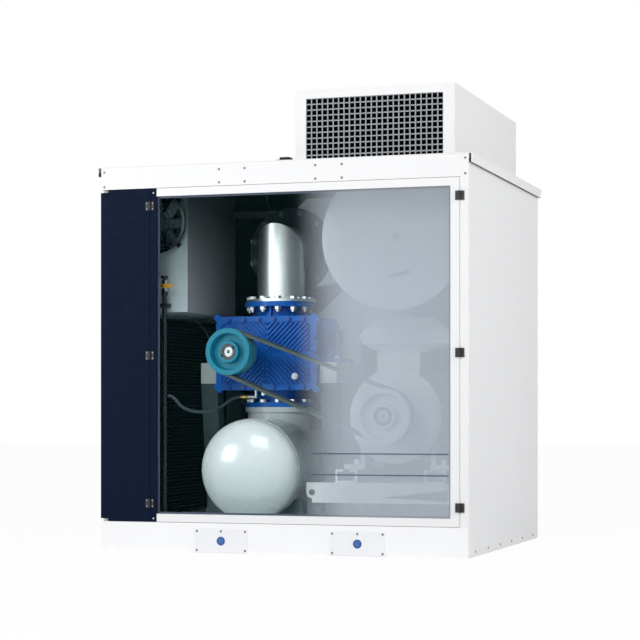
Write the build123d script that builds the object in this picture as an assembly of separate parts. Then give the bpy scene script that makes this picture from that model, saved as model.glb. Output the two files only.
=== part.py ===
"""A packaged roots (rotary lobe) vacuum pump in its acoustic enclosure.

Millimetres. +Z is up, the front with the folding door faces -Y, and the origin is the centre of the
underside of the base. Every function below makes one sub-part, and the table at the end names its node.
"""

from build123d import *
from math import atan2, cos, degrees, pi, radians, sin, sqrt, tan
import os

# ---------------------------------------------------------------- driving dimensions
# Enclosure
case_width = 1780.0
case_depth = 1514.0
base_height = 137.0
fascia_bottom = 1697.0
roof_height = 1800.0
sheet = 3.0
base_plate = 5.0
post_size = 40.0
roof_overhang = 14.0
roof_lip = 40.0
fit_gap = 0.5
door_gap = 2.0
lining_thickness = 45.0

# Fork pockets and their covers, in the base
pocket_centres_x = (-284.0, 374.0)
pocket_width = 220.0
pocket_height = 80.0
pocket_floor = 12.0
cover_width = 260.0
cover_height = 112.0
cover_sheet = 2.0
badge_radius = 20.0
anchor_spacing_x = 1640.0
anchor_spacing_y = 1380.0
anchor_radius = 9.0
anchor_access_radius = 28.0

# Folding front door
stile_width = 42.0
rail_width = 37.0
navy_stile_width = 33.0
leaf_width = 250.0
door_depth = 30.0
pane_thickness = 6.0
pane_edge = 9.0
hinge_size = 41.0
hinge_plate = 4.0
hinge_pin_radius = 3.0
hinge_knuckle_radius = 6.5
hinge_heights = (225.0, 915.0, 1613.0)
pin_clearance = 0.05

# Roof hood
hood_left = 17.0
hood_right = 780.0
hood_front = -577.0
hood_back = 735.0
hood_height = 346.0
mesh_columns = 25
mesh_rows = 11
mesh_pitch = 26.3
mesh_wire = 6.0
mesh_wire_thickness = 2.0

# Blower
blower_x = -215.0
blower_y = -125.0
shaft_z = 935.0
centre_distance = 194.0
rotor_lobes = 3
rotor_length = 250.0
rotor_clearance = 0.35
casing_wall = 16.0
rib_height = 20.0
side_plate = 25.0
drive_cover_depth = 60.0
gear_cover_depth = 85.0
cover_half_width = 257.0
cover_half_height = 178.0
rotor_shaft_radius = 32.0
shaft_end_radius = 24.0
flange_radius = 170.0
flange_thickness = 24.0
flange_pcd = 295.0
flange_bolts = 12
flange_hole_radius = 11.0
port_radius = 104.0
gear_teeth = 24
gear_width = 36.0
timing_backlash = 0.7

# Belt drive
blower_pulley_radius = 110.0
motor_pulley_radius = 130.0
groove_count = 5
groove_pitch = 19.0
pulley_face_y = -600.0
belt_top_width = 16.3
belt_height = 13.0
belt_flank_angle = 18.0
belt_clearance = 0.35

# Motor on its swing base
motor_x = 446.0
motor_z = 631.0
motor_front_y = -390.0
motor_frame_length = 520.0
motor_shield_radius = 222.0
motor_barrel_radius = 196.0
motor_fin_height = 34.0
motor_shaft_height = 250.0
motor_shaft_radius = 30.0
rail_height = 60.0
rail_section = 104.0
foot_thickness = motor_shaft_height - 228.0
platform_thickness = 8.0
swing_pin_radius = 14.0

# Intake duct and silencer
duct_radius = 117.0
duct_wall = 3.0
duct_z = 1453.0
duct_flange_y = 30.0
drum_x = 483.0
drum_z = 1462.0
drum_radius = 345.0
drum_front_y = -548.0
drum_length = 1020.0
drum_wall = 4.0

# Discharge silencer (tank)
tank_radius = 239.0
tank_z = 379.0
tank_seam_y = -560.0
tank_length = 1150.0
tank_head_depth = 92.0
tank_wall = 6.0
neck_radius = 158.0

# Process connections through the rear panel
process_pipe_radius = 109.5
rear_reach = 42.0

# Ventilation duct with its axial fan
vent_left = -838.0
vent_right = -513.0
vent_front = -600.0
vent_back = 45.0
vent_bottom = 1125.0
fan_x = -660.0
fan_z = 1548.0
fan_ring_radius = 147.0
fan_blades = 7

# ---------------------------------------------------------------- derived places
half_w = case_width / 2
half_d = case_depth / 2
front_y = -half_d
base_top = base_height
door_bottom = base_height + door_gap
door_top = fascia_bottom - door_gap
hinge_axis_y = front_y - hinge_plate - hinge_knuckle_radius + 1.5
main_axis_x = half_w - post_size - door_gap / 2
leaf_axis_x = -half_w + leaf_width + door_gap / 2
door_left = leaf_axis_x + door_gap / 2
door_right = main_axis_x - door_gap / 2
pane_left = door_left + navy_stile_width
pane_right = door_right - stile_width
pane_bottom = door_bottom + rail_width
pane_top = door_top - rail_width
pitch_radius = centre_distance / 2
lobe_tip_radius = pitch_radius * (1 + 1 / rotor_lobes)
drive_x = blower_x - pitch_radius
driven_x = blower_x + pitch_radius
casing_front = blower_y - rotor_length / 2
casing_back = blower_y + rotor_length / 2
drive_plate_front = casing_front - side_plate
drive_cover_front = drive_plate_front - drive_cover_depth
gear_plate_back = casing_back + side_plate
gear_cover_back = gear_plate_back + gear_cover_depth
top_flange_z = shaft_z + cover_half_height + 75
bottom_flange_z = shaft_z - cover_half_height - 82
pulley_width = groove_count * groove_pitch + 6
pulley_back_y = pulley_face_y + pulley_width
belt_middle_y = pulley_face_y + pulley_width / 2
motor_back_y = motor_front_y + 26 + motor_frame_length
motor_foot_z = motor_z - motor_shaft_height
platform_top = motor_foot_z - rail_height
platform_left = 62.0
platform_right = 742.0
platform_front = motor_front_y - 110
platform_back = motor_front_y + 620
swing_axis_x = platform_left + 12
swing_axis_z = platform_top - 46
tank_back_y = tank_seam_y + tank_length
lining_face_x = half_w - sheet - lining_thickness
parts = {}


# ---------------------------------------------------------------- helpers
def span(x0, x1, y0, y1, z0, z1):
    """A box between two corners."""
    return Pos((x0 + x1) / 2, (y0 + y1) / 2, (z0 + z1) / 2) * Box(x1 - x0, y1 - y0, z1 - z0)


def rod_y(x, z, y0, y1, radius):
    """A round bar along Y."""
    return Pos(x, (y0 + y1) / 2, z) * Rot(90, 0, 0) * Cylinder(radius, y1 - y0)


def rod_x(y, z, x0, x1, radius):
    return Pos((x0 + x1) / 2, y, z) * Rot(0, 90, 0) * Cylinder(radius, x1 - x0)


def rod_z(x, y, z0, z1, radius):
    return Pos(x, y, (z0 + z1) / 2) * Cylinder(radius, z1 - z0)


def tube_y(x, z, y0, y1, radius, wall):
    return rod_y(x, z, y0, y1, radius) - rod_y(x, z, y0 - 1, y1 + 1, radius - wall)


def tube_z(x, y, z0, z1, radius, wall):
    return rod_z(x, y, z0, z1, radius) - rod_z(x, y, z0 - 1, z1 + 1, radius - wall)


def hex_y(x, z, y0, y1, flats):
    """A hexagon bar along Y, measured across its flats."""
    outline = Plane.XZ.offset(-y1) * Pos(x, z) * RegularPolygon(flats / sqrt(3), 6)
    return extrude(outline, y1 - y0)


def hex_z(x, y, z0, z1, flats):
    return extrude(Plane.XY.offset(z0) * Pos(x, y) * RegularPolygon(flats / sqrt(3), 6), z1 - z0)


def turned_y(x, z, y_start, profile):
    """A solid of revolution about an axis along Y. The profile is (radius, distance behind y_start)."""
    points = [(x + r, y_start + d) for r, d in profile]
    face = Plane.XY.offset(z) * make_face(Polyline(points, close=True))
    return revolve(face, Axis((x, 0, z), (0, 1, 0)), 360)


def ring_of(count, radius, start=0.0):
    """Angles and centres of a circle of holes or bolts."""
    for i in range(count):
        angle = radians(start + 360 * i / count)
        yield radius * cos(angle), radius * sin(angle)


def one(shapes):
    """Several solids kept apart in one node."""
    solids = []
    for shape in shapes:
        solids += list(shape.solids())
    return Compound(children=solids)


def washer_bolt_z(x, y, z_head, z_tip, flats, shank, up=1):
    """A hexagon bolt along Z. up is 1 where its head is on top."""
    head = flats * 0.62
    z0, z1 = (z_head, z_head + head) if up > 0 else (z_head - head, z_head)
    stem = rod_z(x, y, min(z_head, z_tip), max(z_head, z_tip), shank)
    return hex_z(x, y, z0, z1, flats) + stem


# ---------------------------------------------------------------- base
def pocket_spans(grow, y0, y1):
    z0 = pocket_floor - grow
    z1 = pocket_floor + pocket_height + grow
    for x in pocket_centres_x:
        yield span(x - pocket_width / 2 - grow, x + pocket_width / 2 + grow, y0, y1, z0, z1)


def anchor_points():
    for sx in (-1, 1):
        for sy in (-1, 1):
            yield sx * anchor_spacing_x / 2, sy * anchor_spacing_y / 2


def base_frame():
    """Welded floor pan, deck and rim, with two fork tunnels and four anchor holes."""
    side = half_w - sheet
    body = span(-side, side, front_y, half_d, 0, base_height)
    inner = span(-side + base_plate, side - base_plate, front_y + base_plate, half_d - base_plate,
                 base_plate, base_height - base_plate)
    body -= inner
    for tunnel in pocket_spans(base_plate, front_y + 1, half_d - 1):
        body += tunnel
    for hole in pocket_spans(0, front_y - 1, half_d + 1):
        body -= hole
    for x, y in anchor_points():
        body -= rod_z(x, y, -1, base_plate + 1, anchor_radius)
        body -= rod_z(x, y, base_height - base_plate - 1, base_height + 1, anchor_access_radius)
    return body


def cover_screw_points(x):
    """The five screws of one fork pocket cover, as X and Z."""
    half = cover_width / 2 - 11
    return [(x - half, 12), (x + half, 12), (x - half, 100), (x, 100), (x + half, 100)]


def pocket_covers(side):
    """Sheet covers over the fork pockets; side is -1 at the front and 1 at the back."""
    made = []
    for x in pocket_centres_x:
        near = side * half_d
        far = side * (half_d + cover_sheet)
        plate = span(x - cover_width / 2, x + cover_width / 2, min(near, far), max(near, far), 2, cover_height)
        made.append(plate)
    return one(made)


def panel_screws_y(points, y_face, side, radius=5.0, height=2.5):
    """Button-head screws on a face across Y."""
    made = []
    for x, z in points:
        y0, y1 = sorted((y_face, y_face + side * height))
        head = rod_y(x, z, y0, y1, radius)
        made.append(chamfer(head.edges().filter_by(GeomType.CIRCLE).sort_by(Axis.Y)[-1 if side > 0 else 0], 1.0))
    return made


def pocket_cover_screws():
    made = []
    for side in (-1, 1):
        points = [p for x in pocket_centres_x for p in cover_screw_points(x)]
        made += panel_screws_y(points, side * (half_d + cover_sheet), side)
    return one(made)


def pocket_badges():
    """Plain round plugs at the middle of the front covers."""
    y1 = front_y - cover_sheet
    made = []
    for x in pocket_centres_x:
        made.append(rod_y(x, 55, y1 - 1.5, y1, badge_radius))
    return one(made)


# ---------------------------------------------------------------- casing panels
def side_panel(side):
    """Outer skin of one side, with folded edges at the front and back."""
    x_out = side * half_w
    x_in = side * (half_w - sheet)
    x0, x1 = sorted((x_in, x_out))
    z0, z1 = 4, roof_height - 2
    leaf_room = door_depth + 2 if side < 0 else 0
    return span(x0, x1, front_y + leaf_room, half_d, z0, z1)


def side_screws():
    """The row of screws along the lower edge of each side."""
    made = []
    pitch = case_depth / 6
    for side in (-1, 1):
        x0 = side * half_w
        for i in range(6):
            y = front_y + pitch * (i + 0.5)
            lo, hi = sorted((x0, x0 + side * 2.5))
            made.append(rod_x(y, 24, lo, hi, 5))
    return one(made)


def corner_posts():
    """Four folded posts from the base to the roof rail."""
    side = half_w - sheet
    z0, z1 = base_height, fascia_bottom
    made = []
    right = span(side + sheet - post_size, side, front_y, front_y + 58, z0, z1)
    right -= span(side + sheet - post_size + 3, side - 3, front_y + 3, front_y + 60, z0 - 1, z1 + 1)
    made.append(right)
    left = span(-side, -side + post_size, front_y + 32, front_y + 90, z0, z1)
    left -= span(-side + 3, -side + post_size - 3, front_y + 35, front_y + 92, z0 - 1, z1 + 1)
    made.append(left)
    for sx in (-1, 1):
        x0, x1 = sorted((sx * side, sx * (side - post_size)))
        rear = span(x0, x1, half_d - 60, half_d - sheet, z0, z1)
        rear -= span(x0 + 3, x1 - 3, half_d - 62, half_d - sheet - 3, z0 - 1, z1 + 1)
        made.append(rear)
    return one(made)


def fascia():
    """Front header: a folded channel above the doors."""
    side = half_w - sheet
    body = span(-side, side, front_y, front_y + 60, fascia_bottom, roof_height - fit_gap)
    body -= span(-side + 3, side - 3, front_y + 3, front_y + 61, fascia_bottom + 3, roof_height - fit_gap - 3)
    return body


def fascia_screws():
    pairs = []
    for x in (-294, -168, 174, 300):
        pairs += [(x, fascia_bottom + 15), (x, roof_height - 27)]
    for x in (-half_w + 19, half_w - 16):
        pairs += [(x, fascia_bottom + 13), (x, roof_height - 21)]
    return one(panel_screws_y(pairs, front_y, -1, 5.5, 2.5))


def rear_header():
    side = half_w - sheet
    y1 = half_d - sheet
    body = span(-side, side, y1 - 60, y1, fascia_bottom, roof_height - fit_gap)
    body -= span(-side + 3, side - 3, y1 - 61, y1 - 3, fascia_bottom + 3, roof_height - fit_gap - 3)
    return body


def rear_panel():
    """Rear skin with the two process pipe holes."""
    side = half_w - sheet
    skin = span(-side, side, half_d - sheet, half_d, base_height, roof_height - fit_gap)
    for x, z in ((drum_x, drum_z), (blower_x, tank_z)):
        skin -= rod_y(x, z, half_d - sheet - 1, half_d + 1, process_pipe_radius + 8)
    return skin


def roof_opening():
    """X and Y limits of the hole in the roof under the hood."""
    return hood_left + 45, hood_right - 45, drum_front_y - 14, hood_back - 60


def roof_panel():
    """Roof sheet with turned-down lips and the opening under the hood."""
    out_x = half_w + roof_overhang
    out_y = half_d + roof_overhang + 6
    top = roof_height + sheet
    body = span(-out_x, out_x, front_y, out_y, roof_height - roof_lip, top)
    body -= span(-out_x + sheet, out_x - sheet, front_y - 1, out_y - sheet, roof_height - roof_lip - 1, roof_height)
    x0, x1, y0, y1 = roof_opening()
    body -= span(x0, x1, y0, y1, roof_height - 1, top + 1)
    return body


def roof_seals():
    """Rubber strips between each side panel and the roof lip."""
    made = []
    z1 = roof_height - roof_lip + 16
    for side in (-1, 1):
        x0, x1 = sorted((side * (half_w + fit_gap), side * (half_w + roof_overhang - sheet - fit_gap)))
        made.append(span(x0, x1, front_y, half_d, roof_height - roof_lip + 2, z1))
    return one(made)


def hood_shell():
    """Roof hood: a folded box open below, with a framed opening for the mesh."""
    z0 = roof_height + sheet
    z1 = z0 + hood_height
    body = span(hood_left, hood_right, hood_front, hood_back, z0, z1)
    body -= span(hood_left + sheet, hood_right - sheet, hood_front + sheet, hood_back - sheet, z0 - 1, z1 - sheet)
    width = mesh_columns * mesh_pitch
    height = mesh_rows * mesh_pitch
    x0 = (hood_left + hood_right) / 2 - width / 2
    body -= span(x0, x0 + width, hood_front - 1, hood_front + sheet + 1, z1 - 42 - height, z1 - 42)
    return body


def hood_mesh():
    """Welded mesh behind the hood opening: upright wires in front, level wires behind."""
    z1 = roof_height + sheet + hood_height - 42
    width = mesh_columns * mesh_pitch
    height = mesh_rows * mesh_pitch
    x0 = (hood_left + hood_right) / 2 - width / 2
    y0 = hood_front + sheet
    y1 = y0 + mesh_wire_thickness
    made = []
    for i in range(mesh_columns + 1):
        x = x0 + i * mesh_pitch
        made.append(span(x - mesh_wire / 2, x + mesh_wire / 2, y0, y1, z1 - height - 8, z1 + 8))
    for i in range(mesh_rows + 1):
        z = z1 - i * mesh_pitch
        made.append(span(x0 - 8, x0 + width + 8, y1, y1 + mesh_wire_thickness, z - mesh_wire / 2, z + mesh_wire / 2))
    return one(made)


def hood_lining():
    """Foam lining of the hood's roof and its three closed sides."""
    z0 = roof_height + sheet
    z1 = z0 + hood_height - sheet
    x0, x1 = hood_left + sheet, hood_right - sheet
    y0, y1 = hood_front + 60, hood_back - sheet
    body = span(x0, x1, y0, y1, z0, z1)
    body -= span(x0 + 30, x1 - 30, y0 - 1, y1 - 30, z0 - 1, z1 - 30)
    return body


def cable_entry():
    """Block with a cable gland on the roof, beside the hood."""
    z0 = roof_height + sheet
    block = span(-62, -14, hood_front, hood_front + 60, z0, z0 + 38)
    block = fillet(block.edges().filter_by(Axis.Z), 6)
    gland = rod_x(hood_front + 30, z0 + 20, -86, -62, 11)
    return block + gland


# ---------------------------------------------------------------- acoustic lining
def ribbed_slab(x_wall, x_face, y0, y1, z0, z1, pitch=34.0, groove=9.0):
    """Foam slab with level ribs on the face towards the machine."""
    inward = 1 if x_face > x_wall else -1
    count = int((z1 - z0) // pitch)
    points = [(x_wall, z0), (x_wall, z1), (x_face, z1)]
    for i in range(count):
        top = z1 - 6 - i * pitch
        points += [(x_face, top - pitch * 0.5), (x_face - inward * groove, top - pitch * 0.62),
                   (x_face - inward * groove, top - pitch * 0.82), (x_face, top - pitch * 0.94)]
    points.append((x_face, z0))
    return extrude(Plane.XZ.offset(-y1) * make_face(Polyline(points, close=True)), y1 - y0)


def left_lining():
    x_wall = -(half_w - sheet)
    y0 = front_y + 92
    return ribbed_slab(x_wall, -lining_face_x, y0, half_d - 62, base_top, vent_bottom - 4)


def right_lining():
    x_wall = half_w - sheet
    return ribbed_slab(x_wall, lining_face_x, front_y + 60, half_d - 62, base_top, fascia_bottom - 2)


def rear_lining():
    """Foam on the rear panel, cut out round the two process pipes."""
    y1 = half_d - sheet
    edge = lining_face_x - 2
    slab = span(-edge, edge, y1 - lining_thickness, y1, base_top, fascia_bottom - 2)
    for x, z in ((drum_x, drum_z), (blower_x, tank_z)):
        slab -= rod_y(x, z, y1 - lining_thickness - 1, y1 + 1, process_pipe_radius + 14)
    return slab


def roof_lining():
    """Foam under the roof sheet, left of the hood opening."""
    x0, x1, y0, y1 = roof_opening()
    z0 = roof_height - 70
    z1 = roof_height
    slab = span(-half_w + 45, x0 - 30, front_y + 62, half_d - 66, z0, z1)
    return slab - span(-half_w, vent_right + 2, vent_front - 2, vent_back + 2, z0 - 1, z1 + 1)


# ---------------------------------------------------------------- blower
def stadium(radius):
    """Outline round the two bores, as a face across Y."""
    outline = Rectangle(centre_distance, 2 * radius)
    outline += Pos(-pitch_radius, 0) * Circle(radius)
    outline += Pos(pitch_radius, 0) * Circle(radius)
    return outline


def across_y(face, y0, y1, x=blower_x, z=shaft_z):
    """Extrude a face drawn in X and Z from y0 back to y1."""
    return extrude(Plane.XZ.offset(-y1) * Pos(x, z) * face, y1 - y0)


def cover_outline(half_width, half_height, corner=46.0):
    return RectangleRounded(2 * half_width, 2 * half_height, corner)


def rim_points():
    """Bolt circle of the end covers: along the long edges, then the short ones."""
    points = []
    for i in range(6):
        x = (i - 2.5) * 76
        points += [(x, cover_half_height - 15), (x, -cover_half_height + 15)]
    for z in (-78, 0, 78):
        points += [(cover_half_width - 15, z), (-cover_half_width + 15, z)]
    return points


def blower_casing():
    """Cast casing: twin bore, hoop ribs, end flanges, necks, port flanges and feet."""
    shell = across_y(stadium(lobe_tip_radius + casing_wall), casing_front, casing_back)
    for y0 in (casing_front, casing_back - 16):
        shell += across_y(cover_outline(cover_half_width - 6, cover_half_height - 6), y0, y0 + 16)
    for i in range(5):
        y = casing_front + 45 + i * (rotor_length - 90) / 4
        shell += across_y(stadium(lobe_tip_radius + casing_wall + rib_height), y - 4, y + 4)
    shell += rod_z(blower_x, blower_y, shaft_z, top_flange_z, port_radius + 17)
    shell += rod_z(blower_x, blower_y, bottom_flange_z, shaft_z, port_radius + 17)
    for z0 in (top_flange_z - flange_thickness, bottom_flange_z):
        shell += rod_z(blower_x, blower_y, z0, z0 + flange_thickness, flange_radius)
    web_low = shaft_z + cover_half_height + 2
    for a in range(4):
        web = span(port_radius + 10, flange_radius - 26, -4, 4, web_low, top_flange_z - 4)
        shell += Pos(blower_x, blower_y, 0) * Rot(0, 0, 90 * a) * web
    for side in (-1, 1):
        x0, x1 = sorted((blower_x + side * 200, blower_x + side * 345))
        for y in (casing_front + 55, casing_back - 55):
            shell += span(x0, x1, y - 32, y + 32, 890, 912)
            x2, x3 = sorted((blower_x + side * 200, blower_x + side * 300))
            shell += span(x2, x3, y - 8, y + 8, 870, 960)
            shell -= rod_z(blower_x + side * 318, y, 880, 920, 9.2)
            x4, x5 = sorted((blower_x + side * 262, blower_x + side * 360))
            shell -= span(x4, x5, y - 40, y + 40, 860, 890)
    for x in (drive_x, driven_x):
        shell -= rod_y(x, shaft_z, casing_front - 1, casing_back + 1, lobe_tip_radius + rotor_clearance)
    shell -= rod_z(blower_x, blower_y, shaft_z + 60, top_flange_z + 1, port_radius)
    shell -= rod_z(blower_x, blower_y, bottom_flange_z - 1, shaft_z - 60, port_radius)
    for dx, dy in ring_of(flange_bolts, flange_pcd / 2, 15):
        shell -= rod_z(blower_x + dx, blower_y + dy, top_flange_z - 40, top_flange_z + 1, flange_hole_radius)
        shell -= rod_z(blower_x + dx, blower_y + dy, bottom_flange_z - 1, bottom_flange_z + 40, flange_hole_radius)
    return shell


def shaft_hole(x, y0, y1, radius):
    return rod_y(x, shaft_z, y0 - 0.5, y1 + 0.5, radius)


bearing_radius = 58.0
bearing_width = 18.0


def end_plate(y0, y1, bearing_side):
    """Plate between the casing and a cover, bored for the shafts and the bearings."""
    plate = across_y(cover_outline(cover_half_width, cover_half_height), y0, y1)
    for x in (drive_x, driven_x):
        plate -= shaft_hole(x, y0, y1, rotor_shaft_radius + 2)
        b0 = y0 - 1 if bearing_side < 0 else y1 - bearing_width
        plate -= rod_y(x, shaft_z, b0, b0 + bearing_width + 1, bearing_radius)
    return plate


def rotor_bearings():
    """Ball bearings of both rotors, seated in the end plates."""
    made = []
    for x in (drive_x, driven_x):
        for y0 in (drive_plate_front, gear_plate_back - bearing_width):
            made.append(tube_y(x, shaft_z, y0, y0 + bearing_width, bearing_radius,
                               bearing_radius - rotor_shaft_radius - pin_clearance))
    return one(made)


sight_x = 150.0
sight_z = -112.0


def chevron_ribs(y_face, height):
    """Cooling ribs of the drive end cover: rising and falling at 45 degrees from the upright centre line."""
    quarter = Rectangle(1, 1)
    width, rise = cover_half_width - 38, cover_half_height - 34
    quarter = Pos(width / 2 + 2, rise / 2 + 5) * Rectangle(width - 4, rise - 6)
    bars = None
    for i in range(-11, 12):
        bar = Pos(width / 2 + i * 25, rise / 2) * Rot(0, 0, 45) * Rectangle(420, 7.5)
        bars = bar if bars is None else bars + bar
    field = quarter & bars
    ribs = []
    for mirror_x in (1, -1):
        for mirror_z in (1, -1):
            turned = field
            if mirror_x < 0:
                turned = mirror(turned, Plane.YZ)
            if mirror_z < 0:
                turned = mirror(turned, Plane.XZ)
            ribs.append(turned)
    made = []
    for rib in ribs:
        for face in rib.faces():
            made.append(across_y(face, y_face - height, y_face + 1))
    return made


def drive_cover():
    """Ribbed cover at the drive end, with corner lugs, bolt bosses and the drive shaft boss."""
    y0, y1 = drive_cover_front, drive_plate_front
    face_y = y0 + 12
    body = across_y(cover_outline(cover_half_width, cover_half_height), face_y, y1)
    rim = cover_outline(cover_half_width, cover_half_height) - cover_outline(cover_half_width - 30, cover_half_height - 28, 30)
    body += across_y(rim, y0 + 4, face_y)
    body += chevron_ribs(face_y, 12)
    for dx, dz in rim_points():
        body += rod_y(blower_x + dx, shaft_z + dz, y0, y1, 15)
    for sx in (-1, 1):
        for sz in (-1, 1):
            lug = Pos(blower_x + sx * (cover_half_width - 17), 0, shaft_z + sz * (cover_half_height - 17))
            block = Rot(0, 45, 0) * Box(46, 26, 30)
            body += lug * Pos(sx * 6, y0 + 19, sz * 6) * block
    body += rod_y(drive_x, shaft_z, y0 - 16, y0 + 20, 64)
    body += rod_y(blower_x + sight_x, shaft_z + sight_z, y0, y0 + 14, 21)
    body -= rod_y(drive_x, shaft_z, y0 - 20, y1 + 1, rotor_shaft_radius + 3)
    body -= rod_y(drive_x, shaft_z, y0 - 17, y0, 52)
    body -= rod_y(driven_x, shaft_z, y1 - 24, y1 + 1, rotor_shaft_radius + 3)
    return body


def drive_seal():
    """Lip seal of the drive shaft."""
    y0 = drive_cover_front - 16
    return tube_y(drive_x, shaft_z, y0, y0 + 16, 52, 52 - rotor_shaft_radius - pin_clearance)


def gear_cover():
    """Oil-filled cover of the timing gears."""
    y0, y1 = gear_plate_back, gear_cover_back
    body = across_y(cover_outline(cover_half_width, cover_half_height), y0, y0 + 18)
    body += across_y(cover_outline(cover_half_width - 34, cover_half_height - 32, 70), y0, y1)
    body -= across_y(stadium(122), y0 - 1, y1 - 12)
    for dx, dz in rim_points():
        body += rod_y(blower_x + dx, shaft_z + dz, y0, y0 + 24, 13)
    for i in range(5):
        x = blower_x + (i - 2) * 70
        body += span(x - 4, x + 4, y1 - 2, y1 + 10, shaft_z - 120, shaft_z + 120)
    return body


def cover_bolts():
    """Hexagon bolts of the end covers."""
    made = []
    for dx, dz in rim_points():
        x, z = blower_x + dx, shaft_z + dz
        made.append(hex_y(x, z, drive_cover_front - 9, drive_cover_front, 19))
        made.append(hex_y(x, z, gear_plate_back + 24, gear_plate_back + 33, 19))
    return one(made)


def flange_bolt_set():
    """Bolts and nuts of the two port flanges."""
    made = []
    for dx, dy in ring_of(flange_bolts, flange_pcd / 2, 15):
        x, y = blower_x + dx, blower_y + dy
        top = top_flange_z + 12
        made.append(hex_z(x, y, top, top + 14, 30) + rod_z(x, y, top_flange_z - 50, top, 9.5))
        made.append(hex_z(x, y, top_flange_z - flange_thickness - 16, top_flange_z - flange_thickness, 30) -
                    rod_z(x, y, top_flange_z - 60, top_flange_z, 9.5))
        low = bottom_flange_z + flange_thickness
        made.append(hex_z(x, y, low, low + 14, 30) + rod_z(x, y, bottom_flange_z - flange_thickness + 4, low, 9.5))
    return one(made)


def oil_fittings():
    """Oil sight plug on the drive cover and the two drain plugs below."""
    y0 = drive_cover_front
    sight = rod_y(blower_x + sight_x, shaft_z + sight_z, y0 - 10, y0, 16)
    sight += hex_y(blower_x + sight_x, shaft_z + sight_z, y0 - 18, y0 - 10, 20)
    drain_z = shaft_z - cover_half_height
    drain = rod_z(blower_x - 12, drive_cover_front + 30, drain_z - 26, drain_z, 11)
    drain += rod_y(blower_x - 12, drain_z - 18, drive_cover_front - 6, drive_cover_front + 30, 9)
    return one([sight, drain])


def cycloid_rotor(shrink):
    """Lobed rotor outline: epicycloid tips and hypocycloid waists on one pitch circle."""
    roll = pitch_radius / (2 * rotor_lobes)
    samples = 10
    points = []
    for k in range(2 * rotor_lobes):
        start = pi * (k - 0.5) / rotor_lobes
        for j in range(samples):
            turn = pi / rotor_lobes * (j + 0.5) / samples
            place = start + turn
            rolled = turn * pitch_radius / roll
            if k % 2 == 0:
                normal = place + rolled / 2 - pi / 2
                x = (pitch_radius + roll) * cos(place) - roll * cos(place + rolled)
                y = (pitch_radius + roll) * sin(place) - roll * sin(place + rolled)
            else:
                normal = place - rolled / 2 + pi / 2
                x = (pitch_radius - roll) * cos(place) + roll * cos(place - rolled)
                y = (pitch_radius - roll) * sin(place) + roll * sin(place - rolled)
            points.append((x - shrink * cos(normal), y - shrink * sin(normal)))
    return make_face(Spline(points, periodic=True))


def rotor(x, y_front, y_back):
    """Lobed rotor forged with its shaft."""
    end_gap = 0.4
    body = across_y(cycloid_rotor(rotor_clearance), casing_front + end_gap, casing_back - end_gap, x)
    body += rod_y(x, shaft_z, y_front, y_back, rotor_shaft_radius)
    return body


def drive_rotor():
    y_end = pulley_face_y + 14
    body = rotor(drive_x, drive_cover_front - 60, gear_plate_back + 50)
    body += rod_y(drive_x, shaft_z, y_end, drive_cover_front - 59, shaft_end_radius)
    body -= rod_y(drive_x, shaft_z, y_end - 1, y_end + 30, 8)
    return body


def gear_outline():
    """Spur gear with involute flanks, thinned by half the backlash."""
    module = centre_distance / gear_teeth
    base = pitch_radius * cos(radians(20))
    tip = pitch_radius + 0.9 * module
    root = pitch_radius - 1.25 * module
    half_tooth = (pi * module / 2 - timing_backlash / 2) / (2 * pitch_radius)
    flank = []
    for radius in (base, pitch_radius, tip):
        pressure = sqrt((radius / base) ** 2 - 1)
        flank.append((radius, pressure - atan2(pressure, 1)))
    involute_at_pitch = flank[1][1]
    points = []
    for tooth in range(gear_teeth):
        middle = 2 * pi * tooth / gear_teeth
        side = [(root, half_tooth + involute_at_pitch)]
        side += [(radius, half_tooth + involute_at_pitch - roll) for radius, roll in flank]
        for radius, offset in side:
            points.append((radius * cos(middle - offset), radius * sin(middle - offset)))
        for radius, offset in reversed(side):
            points.append((radius * cos(middle + offset), radius * sin(middle + offset)))
    return make_face(Polyline(points, close=True))


def timing_gear(x, phase):
    y0 = gear_plate_back + 8
    body = across_y(Rot(0, 0, phase) * gear_outline(), y0, y0 + gear_width, x)
    body -= rod_y(x, shaft_z, y0 - 1, y0 + gear_width + 1, rotor_shaft_radius)
    return body


# ---------------------------------------------------------------- belt drive
def pulley(x, z, radius, shaft_radius, hub):
    """Grooved pulley with a recessed web and a bore for its taper bush."""
    half_top = belt_top_width / 2 + belt_clearance
    depth = belt_height + 3
    half_low = half_top - depth * tan(radians(belt_flank_angle))
    points = [(hub, 0), (hub, 20), (hub + 4, 38), (radius - 30, 38), (radius - 22, 0), (radius, 0)]
    for i in range(groove_count):
        middle = 3 + groove_pitch * (i + 0.5)
        points += [(radius, middle - half_top), (radius - depth, middle - half_low),
                   (radius - depth, middle + half_low), (radius, middle + half_top)]
    points += [(radius, pulley_width), (radius - 22, pulley_width), (radius - 30, 62), (hub + 4, 62),
               (hub, pulley_width - 8)]
    points[0] = (hub - 12, 8)
    points[1] = (hub, 8)
    points.append((hub - 12, pulley_width - 8))
    return turned_y(x, z, pulley_face_y, points)


def taper_bush(x, z, outer, bore):
    """Split bush between a pulley and its shaft, with two screws' holes."""
    y0 = pulley_face_y + 6
    body = rod_y(x, z, y0, pulley_back_y - 10, outer)
    body -= rod_y(x, z, y0 - 1, pulley_back_y + 1, bore)
    body -= span(x - 1.5, x + 1.5, y0 - 1, pulley_back_y + 1, z + bore - 2, z + outer + 1)
    for angle in (35, 215):
        dx = (outer - 3) * cos(radians(angle))
        dz = (outer - 3) * sin(radians(angle))
        body -= rod_y(x + dx, z + dz, y0 - 1, y0 + 20, 6)
    return body


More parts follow.
